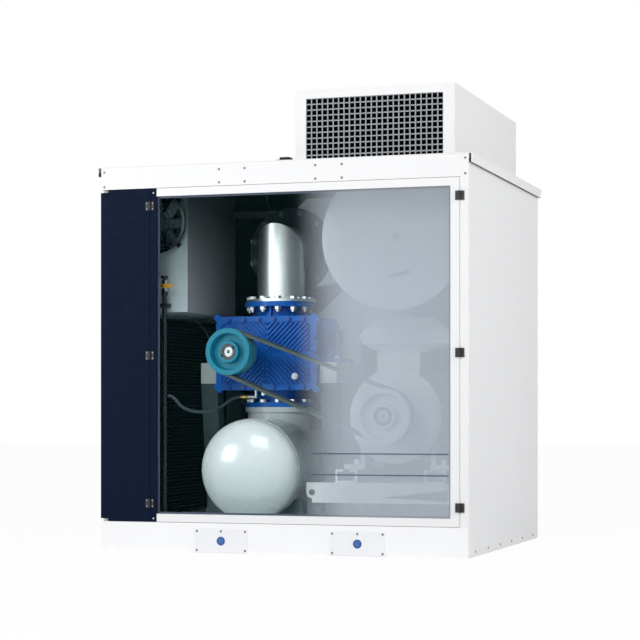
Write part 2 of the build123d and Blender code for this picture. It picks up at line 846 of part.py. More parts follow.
def belt_points(depth):
    """Tangent points of the belt loop, at a depth below the pulley rims."""
    r1 = blower_pulley_radius - depth
    r2 = motor_pulley_radius - depth
    dx, dz = motor_x - drive_x, motor_z - shaft_z
    length = sqrt(dx * dx + dz * dz)
    along = atan2(dz, dx)
    lean = (r2 - r1) / length
    side = sqrt(1 - lean * lean)
    made = []
    for sign in (1, -1):
        nx = -lean * cos(along) - sign * side * sin(along)
        nz = -lean * sin(along) + sign * side * cos(along)
        made.append(((drive_x + r1 * nx, shaft_z + r1 * nz), (motor_x + r2 * nx, motor_z + r2 * nz)))
    return made, along


def belt_loop(depth):
    """Face enclosed by the belt loop at one depth."""
    ((a, b), (c, d)), along = belt_points(depth)
    r1 = blower_pulley_radius - depth
    r2 = motor_pulley_radius - depth
    back = (drive_x - r1 * cos(along), shaft_z - r1 * sin(along))
    far = (motor_x + r2 * cos(along), motor_z + r2 * sin(along))
    edges = [Line(a, b), ThreePointArc(b, far, d), Line(d, c), ThreePointArc(c, back, a)]
    return make_face(Wire(edges))


def v_belts():
    """Five V-belts: each a thin outer band and two narrower inner ones, as the section tapers."""
    made = []
    layers = 3
    for i in range(groove_count):
        middle = pulley_face_y + 3 + groove_pitch * (i + 0.5)
        belt = None
        for n in range(layers):
            top = belt_height * n / layers + 0.5
            low = belt_height * (n + 1) / layers + 0.5
            half = belt_top_width / 2 - low * tan(radians(belt_flank_angle))
            band = belt_loop(top) - belt_loop(low)
            ring = extrude(Plane.XZ.offset(-(middle + half)) * band, 2 * half)
            belt = ring if belt is None else belt + ring
        made.append(belt)
    return one(made)


# ---------------------------------------------------------------- motor
def motor_frame():
    """Finned frame with its feet, bored for the rotor."""
    y0 = motor_front_y + 26
    y1 = y0 + motor_frame_length
    outline = Circle(motor_barrel_radius)
    fins = 44
    for i in range(fins):
        angle = -90 + 360 * (i + 0.5) / fins
        if abs(((angle + 180) % 360) - 90) < 22 or abs(((angle + 360) % 360) - 90) < 24:
            continue
        bar = Pos(motor_barrel_radius + motor_fin_height / 2 - 4, 0) * Rectangle(motor_fin_height + 8, 5)
        outline += Rot(0, 0, angle) * bar
    body = across_y(outline, y0, y1, motor_x, motor_z)
    for side in (-1, 1):
        for y in (y0 + 80, y1 - 90):
            x0, x1 = sorted((motor_x + side * 160, motor_x + side * 262))
            body += span(x0, x1, y - 62, y + 62, motor_foot_z, motor_foot_z + foot_thickness)
            x2, x3 = sorted((motor_x + side * 162, motor_x + side * 182))
            body += span(x2, x3, y - 50, y + 50, motor_foot_z + 1, motor_z - 60)
            body -= rod_z(motor_x + side * rail_offset, y, motor_foot_z - 1, motor_foot_z + foot_thickness + 1, 12.2)
    body += span(motor_x - 105, motor_x + 105, y0 + 40, y0 + 290, motor_z + 150, motor_z + 300)
    body -= rod_y(motor_x, motor_z, y0 - 1, y1 + 1, 118)
    return body


rail_offset = 214.0


def motor_shields():
    """End shields at both ends of the frame, with ribs and bearing seats."""
    made = []
    y0, y1 = motor_front_y, motor_front_y + 26
    front = turned_y(motor_x, motor_z, y0, [(61, -12), (96, -12), (104, 0), (196, 4), (motor_shield_radius, 12),
                                            (motor_shield_radius, 26), (61, 26)])
    made.append(front)
    y2 = motor_back_y
    rear = turned_y(motor_x, motor_z, y2, [(61, 0), (motor_shield_radius - 2, 0), (motor_shield_radius - 2, 16),
                                           (104, 24), (61, 24)])
    made.append(rear)
    return one(made)


def motor_bearings():
    made = []
    for y0 in (motor_front_y + 2, motor_back_y + 2):
        made.append(tube_y(motor_x, motor_z, y0, y0 + 20, 61, 61 - motor_shaft_radius - pin_clearance))
    return one(made)


def fan_cowl():
    """Sheet cowl of the motor's own fan, with radial slots at the back."""
    y0 = motor_back_y + 8
    y1 = y0 + 140
    body = rod_y(motor_x, motor_z, y0, y1, motor_shield_radius)
    body -= rod_y(motor_x, motor_z, y0 - 1, y1 - 2, motor_shield_radius - 2)
    for i in range(18):
        slot = Pos(motor_x, y1 - 1, motor_z) * Rot(0, 360 * i / 18, 0) * Pos(120, 0, 0) * Box(110, 8, 9)
        body -= slot
    return body


def motor_shaft():
    """Motor shaft with its rotor core."""
    y_end = pulley_face_y + 14
    body = rod_y(motor_x, motor_z, y_end, motor_back_y + 70, motor_shaft_radius)
    body += rod_y(motor_x, motor_z, motor_front_y + 70, motor_back_y - 40, 115)
    body -= rod_y(motor_x, motor_z, y_end - 1, y_end + 30, 8)
    return body


def motor_fan():
    y0 = motor_back_y + 34
    body = rod_y(motor_x, motor_z, y0, y0 + 34, 62)
    for i in range(7):
        blade = Pos(motor_x, y0 + 17, motor_z) * Rot(0, 360 * i / 7, 0) * Pos(120, 0, 0) * Box(130, 34, 4)
        body += blade
    body -= rod_y(motor_x, motor_z, y0 - 1, y0 + 35, motor_shaft_radius)
    return body


box_front = -300.0
box_back = -20.0
box_neck_top = motor_z + 300
lid_seam_z = 1004.0


def terminal_box():
    """Cast terminal box flaring up from its neck on the motor frame."""
    x = motor_x + 26
    y = (box_front + box_back) / 2
    depth = box_back - box_front
    low = Plane.XY.offset(box_neck_top) * Pos(motor_x, y) * Rectangle(205, 180)
    high = Plane.XY.offset(box_neck_top + 44) * Pos(x, y) * Rectangle(430, depth - 12)
    body = loft([low, high])
    body += span(x - 215, x + 215, box_front + 6, box_back - 6, box_neck_top + 43.9, lid_seam_z - 8)
    body += span(x - 226, x + 226, box_front, box_back, lid_seam_z - 8, lid_seam_z)
    return body


def terminal_gasket():
    x = motor_x + 26
    return span(x - 222, x + 222, box_front + 4, box_back - 4, lid_seam_z, lid_seam_z + 3)


def terminal_lid():
    """Sloping lid with a flanged edge."""
    x = motor_x + 26
    z0 = lid_seam_z + 3
    body = span(x - 226, x + 226, box_front, box_back, z0, z0 + 8)
    roof = [(x - 222, z0 + 8), (x - 216, z0 + 22), (x - 142, z0 + 86), (x + 142, z0 + 92), (x + 216, z0 + 22),
            (x + 222, z0 + 8)]
    body += extrude(Plane.XZ.offset(-(box_back - 4)) * make_face(Polyline(roof, close=True)), box_back - box_front - 8)
    return body


def slide_rails():
    """Two hat-section rails under the motor feet."""
    half = rail_section / 2
    made = []
    for side in (-1, 1):
        x = motor_x + side * rail_offset
        y0, y1 = platform_front + 30, platform_back - 10
        rail = span(x - half, x + half, y0, y1, platform_top, motor_foot_z)
        rail -= span(x - half + 8, x + half - 8, y0 - 1, y1 + 1, platform_top + 8, motor_foot_z - 8)
        rail -= span(x - 15, x + 15, y0 - 1, y1 + 1, motor_foot_z - 9, motor_foot_z + 1)
        made.append(rail)
    return one(made)


def motor_foot_bolts():
    made = []
    y0 = motor_front_y + 26
    y1 = y0 + motor_frame_length
    for side in (-1, 1):
        for y in (y0 + 80, y1 - 90):
            x = motor_x + side * rail_offset
            made.append(washer_bolt_z(x, y, motor_foot_z + foot_thickness, motor_foot_z - 30, 36, 12))
            made.append(hex_z(x, y, motor_foot_z - 44, motor_foot_z - 30, 46))
    return one(made)


eye_radius = 28.0
front_eye_y = platform_front
rear_eye_y = platform_back - 30


def swing_platform():
    """Folded motor platform hinged along its left edge, which the motor's weight turns to tension the belts."""
    z0 = platform_top - platform_thickness
    x_main = 150.0
    body = span(x_main, platform_right, platform_front, platform_back, z0, platform_top)
    for y0, y1 in ((platform_front, platform_front + 40), (platform_back - 40, platform_back)):
        body += span(swing_axis_x, x_main + 1, y0, y1, z0, platform_top)
    for y0 in (platform_front, platform_back - 6):
        body += span(swing_axis_x, platform_right, y0, y0 + 6, z0 - 86, z0 + 1)
    body += span(platform_right - 6, platform_right, platform_front, platform_back, z0 - 86, z0 + 1)
    corner = [(platform_right - 330, z0 - 60), (platform_right - 14, z0 - 22), (platform_right - 14, z0 - 74)]
    body -= extrude(Plane.XZ.offset(-(platform_front + 20)) * make_face(Polyline(corner, close=True)), 40)
    for y0 in (front_eye_y, rear_eye_y):
        body += rod_y(swing_axis_x, swing_axis_z, y0, y0 + 30, eye_radius)
        body += span(swing_axis_x - eye_radius, swing_axis_x + eye_radius, y0, y0 + 30, swing_axis_z, platform_top)
        body -= rod_y(swing_axis_x, swing_axis_z, y0 - 1, y0 + 31, swing_pin_radius + pin_clearance)
    return body


def swing_brackets():
    """Deck brackets with the pins that the motor platform turns on."""
    made = []
    for y0, pin_y in ((front_eye_y + 32, front_eye_y - 3), (rear_eye_y - 14, rear_eye_y - 14)):
        plate = span(swing_axis_x - 34, swing_axis_x + 34, y0, y0 + 12, base_top, swing_axis_z)
        plate += rod_y(swing_axis_x, swing_axis_z, y0, y0 + 12, eye_radius)
        plate += span(swing_axis_x - 34, swing_axis_x + 34, y0, y0 + 32, base_top, base_top + 10)
        plate += rod_y(swing_axis_x, swing_axis_z, pin_y, pin_y + 47, swing_pin_radius)
        made.append(plate)
    return one(made)


def tension_jacks():
    """Two stop screws that carry the free edge of the motor platform."""
    made = []
    for y in (platform_front + 80, platform_back - 90):
        x = platform_right - 40
        body = span(x - 30, x + 30, y - 30, y + 30, base_top, base_top + 14)
        body += hex_z(x, y, base_top + 14, base_top + 34, 50)
        body += rod_z(x, y, base_top + 14, platform_top - platform_thickness - 0.4, 12)
        made.append(body)
    return one(made)


# ---------------------------------------------------------------- supports
beam_half = 42.0
beam_offset = 305.0
beam_top = 890.0


def blower_frame():
    """Welded frame under the blower: two beams on leaning front legs and upright rear legs."""
    made = []
    for side in (-1, 1):
        x0, x1 = sorted((blower_x + side * (beam_offset - beam_half), blower_x + side * (beam_offset + beam_half)))
        body = span(x0, x1, -300, 100, 790, beam_top)
        top = Plane.XY.offset(791) * Pos((x0 + x1) / 2, -258) * Rectangle(x1 - x0, 84)
        low = Plane.XY.offset(base_top + 10) * Pos((x0 + x1) / 2, -190) * Rectangle(x1 - x0 - 8, 60)
        body += loft([top, low])
        body += span(x0 + 4, x1 - 4, 40, 96, base_top + 10, 791)
        body += span(x0 - 6, x1 + 6, -240, -140, base_top, base_top + 10)
        body += span(x0 - 6, x1 + 6, 26, 110, base_top, base_top + 10)
        made.append(body)
    tie = span(blower_x - beam_offset + beam_half - 10, blower_x + beam_offset - beam_half + 10, 50, 92, 690, 742)
    made[0] += tie
    made[0] += made[1]
    return made[0]


def foot_bolts():
    """Bolts of the blower feet."""
    made = []
    for side in (-1, 1):
        for y in (casing_front + 55, casing_back - 55):
            x = blower_x + side * 318
            made.append(hex_z(x, y, 912, 924, 27) + rod_z(x, y, beam_top, 912, 9))
    return one(made)


def discharge_tank():
    """Discharge silencer vessel with its seams and inlet neck."""
    y0 = tank_seam_y
    straight = tank_length
    front = Plane.XY.offset(tank_z) * make_face(tank_loop(tank_radius, tank_head_depth, y0, y0 + straight))
    inner = Plane.XY.offset(tank_z) * make_face(tank_loop(tank_radius - tank_wall, tank_head_depth - tank_wall, y0, y0 + straight))
    axis = Axis((blower_x, 0, tank_z), (0, 1, 0))
    body = revolve(front, axis, 360)
    for y in (y0 + 16, y0 + straight - 22):
        body += rod_y(blower_x, tank_z, y, y + 6, tank_radius + 1.5)
    body += rod_z(blower_x, blower_y, tank_z + 60, bottom_flange_z - flange_thickness, neck_radius)
    body += rod_z(blower_x, blower_y, bottom_flange_z - flange_thickness, bottom_flange_z, flange_radius)
    y_tail = y0 + straight + tank_head_depth - 40
    body += rod_y(blower_x, tank_z, y_tail, half_d + rear_reach, process_pipe_radius)
    body += rod_y(blower_x, tank_z, half_d + rear_reach - flange_thickness, half_d + rear_reach, flange_radius)
    body -= revolve(inner, axis, 360)
    body -= rod_z(blower_x, blower_y, tank_z, bottom_flange_z + 1, port_radius)
    body -= rod_y(blower_x, tank_z, y_tail - 80, half_d + rear_reach + 1, process_pipe_radius - 6)
    for dx, dy in ring_of(flange_bolts, flange_pcd / 2, 15):
        body -= rod_z(blower_x + dx, blower_y + dy, bottom_flange_z - flange_thickness, bottom_flange_z + 1, flange_hole_radius)
        body -= rod_y(blower_x + dx, tank_z + dy, half_d + rear_reach - 40, half_d + rear_reach + 1, flange_hole_radius)
    return body


def tank_loop(radius, depth, y0, y1):
    """Half section of a vessel with elliptical heads, closed along its axis."""
    x = blower_x
    low = EllipticalCenterArc((x, y0), radius, depth, start_angle=270, arc_size=90)
    side = Line((x + radius, y0), (x + radius, y1))
    high = EllipticalCenterArc((x, y1), radius, depth, start_angle=0, arc_size=90)
    core = Line((x, y1 + depth), (x, y0 - depth))
    return Wire([low, side, high, core])


def tank_saddles():
    """Two saddle plates welded under the vessel."""
    made = []
    for y in (-470, 330):
        outline = [(blower_x - 268, base_top + 10), (blower_x - 236, 236), (blower_x + 230, 236),
                   (blower_x + 240, base_top + 10)]
        plate = extrude(Plane.XZ.offset(-(y + 12)) * make_face(Polyline(outline, close=True)), 12)
        plate += span(blower_x - 275, blower_x + 242, y - 30, y + 42, base_top, base_top + 10)
        plate -= rod_y(blower_x, tank_z, y - 60, y + 80, tank_radius)
        made.append(plate)
    return one(made)


# ---------------------------------------------------------------- intake
def intake_elbow():
    """Galvanised intake pipe: upright run, mitred bend to the rear and its flange."""
    x, y, z = blower_x + 8, blower_y, duct_z
    outer = duct_radius
    made = None
    for radius in (outer, outer - duct_wall):
        upright = rod_z(x, y, top_flange_z + (0 if radius == outer else -1), z + outer + 20, radius)
        level = rod_y(x, z, y - outer - 20, duct_flange_y + (0 if radius == outer else 1), radius)
        shape = upright & level
        shape += rod_z(x, y, top_flange_z + (0 if radius == outer else -1), z, radius)
        shape += rod_y(x, z, y, duct_flange_y + (0 if radius == outer else 1), radius)
        made = shape if made is None else made - shape
    low_ring = rod_z(x, y, top_flange_z, top_flange_z + 12, flange_radius)
    low_ring -= rod_z(x, y, top_flange_z - 1, top_flange_z + 13, duct_radius - duct_wall)
    for dx, dy in ring_of(flange_bolts, flange_pcd / 2, 15):
        low_ring -= rod_z(blower_x + dx, blower_y + dy, top_flange_z - 1, top_flange_z + 13, flange_hole_radius)
    made += low_ring
    rear_ring = rod_y(x, z, duct_flange_y - 10, duct_flange_y, 216)
    rear_ring -= rod_y(x, z, duct_flange_y - 11, duct_flange_y + 1, duct_radius - duct_wall)
    return made + rear_ring


def intake_connector():
    """Painted duct box that joins the pipe flange to the side of the intake silencer."""
    y0, y1 = duct_flange_y, duct_flange_y + 250
    x = blower_x + 8
    outline = [(x - 150, duct_z - 150), (x - 216, duct_z - 60), (x - 216, duct_z + 60), (x - 130, duct_z + 140),
               (x - 32, duct_z + 158), (x + 82, roof_height - 86), (300, roof_height - 84), (300, duct_z - 120),
               (x + 120, duct_z - 180)]
    body = extrude(Plane.XZ.offset(-y1) * make_face(Polyline(outline, close=True)), y1 - y0)
    body += rod_y(x, duct_z, y0, y0 + 10, 216)
    body -= rod_y(drum_x, drum_z, y0 - 1, y1 + 1, drum_radius)
    body -= rod_y(x, duct_z, y0 - 1, y0 + 140, duct_radius - duct_wall)
    return body


def duct_bolts():
    """Bolts of the intake pipe's rear flange."""
    x = blower_x + 8
    made = []
    for dx, dz in ring_of(12, 194, 15):
        made.append(hex_y(x + dx, duct_z + dz, duct_flange_y - 22, duct_flange_y - 10, 24))
    return one(made)


def intake_drum():
    """Intake silencer drum with its inlet pipe to the rear panel."""
    y0, y1 = drum_front_y + 6, drum_front_y + drum_length
    body = rod_y(drum_x, drum_z, y0, y1, drum_radius)
    body += rod_y(drum_x, drum_z, y1, half_d + rear_reach, process_pipe_radius)
    body += rod_y(drum_x, drum_z, half_d + rear_reach - flange_thickness, half_d + rear_reach, flange_radius)
    body -= rod_y(drum_x, drum_z, y0 - 1, y1 - drum_wall, drum_radius - drum_wall)
    body -= rod_y(drum_x, drum_z, y0, half_d + rear_reach + 1, process_pipe_radius - 6)
    for dx, dz in ring_of(flange_bolts, flange_pcd / 2, 15):
        body -= rod_y(drum_x + dx, drum_z + dz, half_d + rear_reach - 40, half_d + rear_reach + 1, flange_hole_radius)
    return body


def drum_cover():
    """Flat front cover of the intake silencer, with its filter tie rod."""
    y0 = drum_front_y
    body = rod_y(drum_x, drum_z, y0, y0 + 6, drum_radius)
    body = chamfer(body.edges().filter_by(GeomType.CIRCLE).sort_by(Axis.Y)[0], 3)
    body += rod_y(drum_x, drum_z, y0 + 5, y0 + 30, drum_radius - drum_wall - 1)
    return body


def drum_nut():
    """Centre nut with its washer."""
    body = hex_y(drum_x, drum_z, drum_front_y - 20, drum_front_y - 4, 30)
    body += rod_y(drum_x, drum_z, drum_front_y - 4, drum_front_y, 24)
    body += rod_y(drum_x, drum_z, drum_front_y - 30, drum_front_y - 19, 9)
    return body


def drum_grip():
    """Bent bar grip below the nut, set at a slight tilt."""
    bar = Pos(drum_x + 18, drum_front_y - 28, drum_z - 167) * Rot(0, -11, 0) * Box(92, 8, 18)
    for dx in (-38, 38):
        bar += Pos(drum_x + 18, drum_front_y - 14, drum_z - 167) * Rot(0, -11, 0) * Pos(dx, 0, 0) * Box(8, 28, 14)
    return bar


def drum_cradle():
    """Two cradle plates on four posts under the intake silencer."""
    made = None
    left, right = 30.0, 816.0
    for y in (124.0, 420.0):
        reach = -125.0 if y < 200 else left
        outline = [(reach, 1060), (reach, 1113), (24, 1250), (120, 1290), (790, 1290), (right, 1250), (right, 1060)]
        plate = extrude(Plane.XZ.offset(-(y + 8)) * make_face(Polyline(outline, close=True)), 8)
        plate -= rod_y(drum_x, drum_z, y - 1, y + 9, drum_radius)
        plate -= rod_y(drum_x, 1030, y - 1, y + 9, 60)
        for x0, x1 in ((left, left + 96), (right - 60, right)):
            plate += span(x0, x1, y, y + 60, base_top, 1160) - span(x0 + 6, x1 - 6, y + 8, y + 61, base_top + 8, 1152)
        made = plate if made is None else made + plate
    return made


def baffle_board():
    """Board that parts the warm side from the intake, behind the blower."""
    return span(-140, 420, 560, 572, 980, 1440)


# ---------------------------------------------------------------- ventilation
def vent_duct():
    """Ventilation duct hung from the roof, with the round fan opening in its front."""
    body = span(vent_left, vent_right, vent_front, vent_back, vent_bottom, roof_height)
    body -= span(vent_left + sheet, vent_right - sheet, vent_front + sheet, vent_back - sheet,
                 vent_bottom + sheet, roof_height + 1)
    body -= rod_y(fan_x, fan_z, vent_front - 1, vent_front + sheet + 1, fan_ring_radius - 14)
    body -= span(vent_left - 1, vent_left + sheet + 1, vent_front + 90, vent_back - 90, vent_bottom + 90, roof_height - 120)
    return body


def fan_ring():
    """Round housing of the fan with its mounting rim."""
    y0 = vent_front - 36
    body = turned_y(fan_x, fan_z, y0, [(fan_ring_radius - 14, 0), (fan_ring_radius, 0), (fan_ring_radius, 6),
                                       (fan_ring_radius - 8, 10), (fan_ring_radius - 8, 36),
                                       (fan_ring_radius - 14, 36)])
    for i in range(4):
        body += Pos(fan_x, vent_front - 4, fan_z) * Rot(0, 45 + 90 * i, 0) * Pos(fan_ring_radius - 2, 0, 0) * Box(24, 8, 22)
    return body


def fan_guard():
    """Guard of concentric rings on four spokes, in front of the fan."""
    y1 = vent_front - 36
    body = None
    for radius in (52, 76, 100, 124):
        ring = tube_y(fan_x, fan_z, y1 - 6, y1 - 3, radius, 3)
        body = ring if body is None else body + ring
    for i in range(4):
        spoke = Pos(fan_x, y1 - 1.5, fan_z) * Rot(0, 45 + 90 * i, 0) * Pos(94, 0, 0) * Box(96, 3.2, 4)
        body += spoke
    return body


def fan_motor():
    """Fan motor on its three-armed bracket inside the duct."""
    y0 = vent_front + 62
    body = rod_y(fan_x, fan_z, y0, y0 + 60, 45)
    body += rod_y(fan_x, fan_z, y0 - 42, y0 + 1, 6)
    for i in range(3):
        arm = Pos(fan_x, y0 + 20, fan_z) * Rot(0, 90 + 120 * i, 0) * Pos(92, 0, 0) * Box(112, 6, 16)
        body += arm
        post = Pos(fan_x, y0 + 20, fan_z) * Rot(0, 90 + 120 * i, 0) * Pos(143, -38, 0) * Box(12, 82, 16)
        body += post
    return body


def fan_impeller():
    """Axial fan wheel with twisted blades."""
    y0 = vent_front + 12
    hub = rod_y(fan_x, fan_z, y0, y0 + 46, 40)
    for i in range(fan_blades):
        blade = Pos(80, 0, 0) * Rot(34, 0, 0) * Box(86, 3, 46)
        hub += Pos(fan_x, y0 + 23, fan_z) * Rot(0, 360 * i / fan_blades, 0) * blade
    hub -= rod_y(fan_x, fan_z, y0 + 6, y0 + 47, 6 + pin_clearance)
    return hub


# ---------------------------------------------------------------- oil drains
drain_y = vent_front - 40
drain_pipes_x = (-614.0, -676.0)
valve_z = 1246.0
drain_pipe_radius = 11.0


def drain_pipes():
    """Two drain pipes up the left side, with caps on their vents, a tee and deck sockets."""
    made = []
    for x in drain_pipes_x:
        pipe = rod_z(x, drain_y, base_top, valve_z - 24, drain_pipe_radius)
        pipe += rod_z(x, drain_y, base_top, base_top + 16, 22)
        pipe += rod_z(x, drain_y, valve_z - 44, valve_z - 24, drain_pipe_radius + 4)
        made.append(pipe)
    x = drain_pipes_x[0]
    made[0] += rod_x(drain_y, hose_start_z, x, x + 20, 9)
    return one(made)


def drain_clamps():
    """Clamps that hold the drain pipes to the ventilation duct."""
    made = []
    for x in drain_pipes_x:
        for z in (vent_bottom + 30,):
            block = span(x - 18, x + 18, drain_y - 14, vent_front, z - 9, z + 9)
            block -= rod_z(x, drain_y, z - 10, z + 10, drain_pipe_radius)
            made.append(block)
    return one(made)


def valve_bodies():
    """Chromed ball valves with stems towards the front and black caps above."""
    made = []
    for x in drain_pipes_x:
        body = hex_z(x, drain_y, valve_z - 24, valve_z - 12, 26)
        body += Pos(x, drain_y, valve_z) * Sphere(16)
        body += hex_z(x, drain_y, valve_z + 12, valve_z + 26, 26)
        body += rod_y(x, valve_z, drain_y - 30, drain_y, 5)
        made.append(body)
    return one(made)


def valve_caps():
    made = []
    for x in drain_pipes_x:
        made.append(rod_z(x, drain_y, valve_z + 26, valve_z + 40, 10) + rod_z(x, drain_y, valve_z + 40, valve_z + 48, 19))
    return one(made)


def valve_lever(x):
    """Flat lever of one ball valve, pointing away from the pipe when shut."""
    y0 = drain_y - 28
    lever = span(x - 9, x + 50, y0, y0 + 5, valve_z - 9, valve_z + 9)
    lever = fillet(lever.edges().filter_by(Axis.Y), 6)
    return lever - rod_y(x, valve_z, y0 - 1, y0 + 6, 5 + pin_clearance)


# ---------------------------------------------------------------- hose and cables
hose_start_z = 728.0
hose_radius = 7.0
fitting_x = -330.0


def routed(points, radius):
    """Round hose along straight runs joined by tangent arcs."""
    radii = []
    for before, here, after in zip(points, points[1:], points[2:]):
        a = Vector(*here) - Vector(*before)
        b = Vector(*after) - Vector(*here)
        turn = radians(a.get_angle(b))
        radii.append(0.45 * min(a.length, b.length) / tan(turn / 2))
    path = FilletPolyline(*points, radius=radii)
    start = Plane(origin=points[0], z_dir=Vector(*points[1]) - Vector(*points[0]))
    solid = sweep(start * Circle(radius), path=path)
    print("route", round(path.length, 1), "radii", [round(r, 1) for r in radii],
          "volume share", round(solid.volume / (pi * radius ** 2 * path.length), 4))
    return solid


hose_route = [(drain_pipes_x[0] + 20, drain_y, hose_start_z), (-570, drain_y, hose_start_z), (-545, -602, 672),
              (-490, -520, 646), (-425, -410, 664), (-386, -325, 724), (fitting_x - 14, -325, 724)]
cable_route = [(-262, -190, roof_height - 70.3), (-262, -190, 1690), (-252, -182, 1640), (-207, -125, 1612),
               (blower_x + 8, blower_y, duct_z + duct_radius + 0.3)]
lead_route = [(drain_pipes_x[0] + drain_pipe_radius + 0.3, drain_y, 1110), (-578, drain_y, 1110), (-530, -560, 1112),
              (-500, -420, 1060), (-512, -300, 990), (blower_x - cover_half_width - 0.3, -300, 990)]


def hose_fittings():
    """Brass hose end and the white elbow that screws into the underside of the drive cover."""
    z = 724.0
    x_end = -268.0
    brass = rod_x(-325, z, fitting_x - 14, fitting_x + 22, 9)
    brass += rod_x(-325, z, fitting_x + 2, fitting_x + 12, 12)
    elbow = rod_x(-325, z, fitting_x + 22, x_end, 7)
    elbow += Pos(x_end, -325, z) * Sphere(8)
    elbow += rod_z(x_end, -325, z, shaft_z - cover_half_height, 7)
    return one([brass, elbow])


# ---------------------------------------------------------------- doors
def door_box(x0, x1, z0, z1, depth=door_depth):
    return span(x0, x1, front_y, front_y + depth, z0, z1)


def door_frame():
    """White frame of the wide leaf: rails and the hinge stile, folded from sheet."""
    body = door_box(pane_left, door_right, door_bottom, door_top)
    body -= span(pane_left - 1, pane_right, front_y - 1, front_y + door_depth + 1, pane_bottom, pane_top)
    body -= span(pane_left - 1, door_right - sheet, front_y + sheet, front_y + door_depth - 14, door_bottom + sheet, pane_bottom - sheet)
    return body


def navy_stile():
    """Painted stile at the free edge of the wide leaf."""
    body = door_box(door_left, pane_left, door_bottom, door_top)
    return body - span(door_left + sheet, pane_left - sheet, front_y + sheet, front_y + door_depth + 1,
                       door_bottom + sheet, door_top - sheet)


def door_pane():
    """Clear sheet clipped behind the frame opening."""
    y0 = front_y + 4
    return span(pane_left + 1, pane_right - 1, y0, y0 + pane_thickness, pane_bottom + 1, pane_top - 1)


def pane_clips():
    """Rubber clamping strips all round behind the pane."""
    y0 = front_y + 4 + pane_thickness
    outer = span(pane_left, pane_right, y0, y0 + 8, pane_bottom, pane_top)
    return outer - span(pane_left + pane_edge, pane_right - pane_edge, y0 - 1, y0 + 9, pane_bottom + pane_edge, pane_top - pane_edge)


def pane_rules():
    """Two thin dark rules on the face of the pane."""
    y0 = front_y + 3.2
    return one([span(153, 795, y0, front_y + 4, z - 2.5, z + 2.5) for z in (366, 462)])


def narrow_leaf():
    """Narrow painted leaf with notched outer corners."""
    x0, x1 = -half_w + 1, leaf_axis_x - door_gap / 2
    body = door_box(x0, x1, door_bottom, door_top)
    body -= span(x0 + sheet, x1 - sheet, front_y + sheet, front_y + door_depth + 1, door_bottom + sheet, door_top - sheet)
    for z0, z1 in ((door_bottom - 1, door_bottom + 12), (door_top - 12, door_top + 1)):
        body -= span(x0 - 1, x0 + 38, front_y - 1, front_y + door_depth + 1, z0, z1)
    return body


def leaf_backing():
    """Foam pad inside the narrow leaf."""
    x0, x1 = -half_w + 1, leaf_axis_x - door_gap / 2
    return span(x0 + sheet, x1 - sheet, front_y + sheet, front_y + door_depth - 4, door_bottom + 20, door_top - 20)


def hinge_half(axis_x, side, outer):
    """One half of every hinge on an axis: side -1 lies to the left. The outer half carries the pin."""
    made = []
    third = hinge_size / 3
    y0 = front_y - hinge_plate
    for z in hinge_heights:
        z0 = z - hinge_size / 2
        near = axis_x + side * door_gap / 2
        far = axis_x + side * hinge_size / 2
        plate = span(min(near, far), max(near, far), y0, front_y, z0, z0 + hinge_size)
        knuckles = ((0, third - 0.4), (2 * third + 0.4, hinge_size)) if outer else ((third + 0.4, 2 * third - 0.4),)
        reach = sorted((axis_x, axis_x + side * 6))
        for a, b in knuckles:
            plate += rod_z(axis_x, hinge_axis_y, z0 + a, z0 + b, hinge_knuckle_radius)
            plate += span(reach[0], reach[1], y0 - 1, y0 + 2, z0 + a, z0 + b)
        free = ((third - 0.4, 2 * third + 0.4),) if outer else ((-1, third + 0.4), (2 * third - 0.4, hinge_size + 1))
        for a, b in free:
            plate -= rod_z(axis_x, hinge_axis_y, z0 + a, z0 + b, hinge_knuckle_radius + 0.6)
        if outer:
            plate += rod_z(axis_x, hinge_axis_y, z0, z0 + hinge_size, hinge_pin_radius)
        else:
            plate -= rod_z(axis_x, hinge_axis_y, z0 - 1, z0 + hinge_size + 1, hinge_pin_radius + pin_clearance)
        made.append(plate)
    return one(made)


def hinge_screws(axis_x, side):
    """Screws of one half of every hinge."""
    x = axis_x + side * (hinge_size / 2 - 6)
    points = []
    for z in hinge_heights:
        points += [(x, z - 13), (x, z + 13)]
    return one(panel_screws_y(points, front_y - hinge_plate, -1, 3.2, 1.2))


def stile_screws():
    points = [(door_left + navy_stile_width / 2, door_top - 21), (door_left + navy_stile_width / 2, door_bottom + 15)]
    return one(panel_screws_y(points, front_y, -1, 3.6, 1.2))


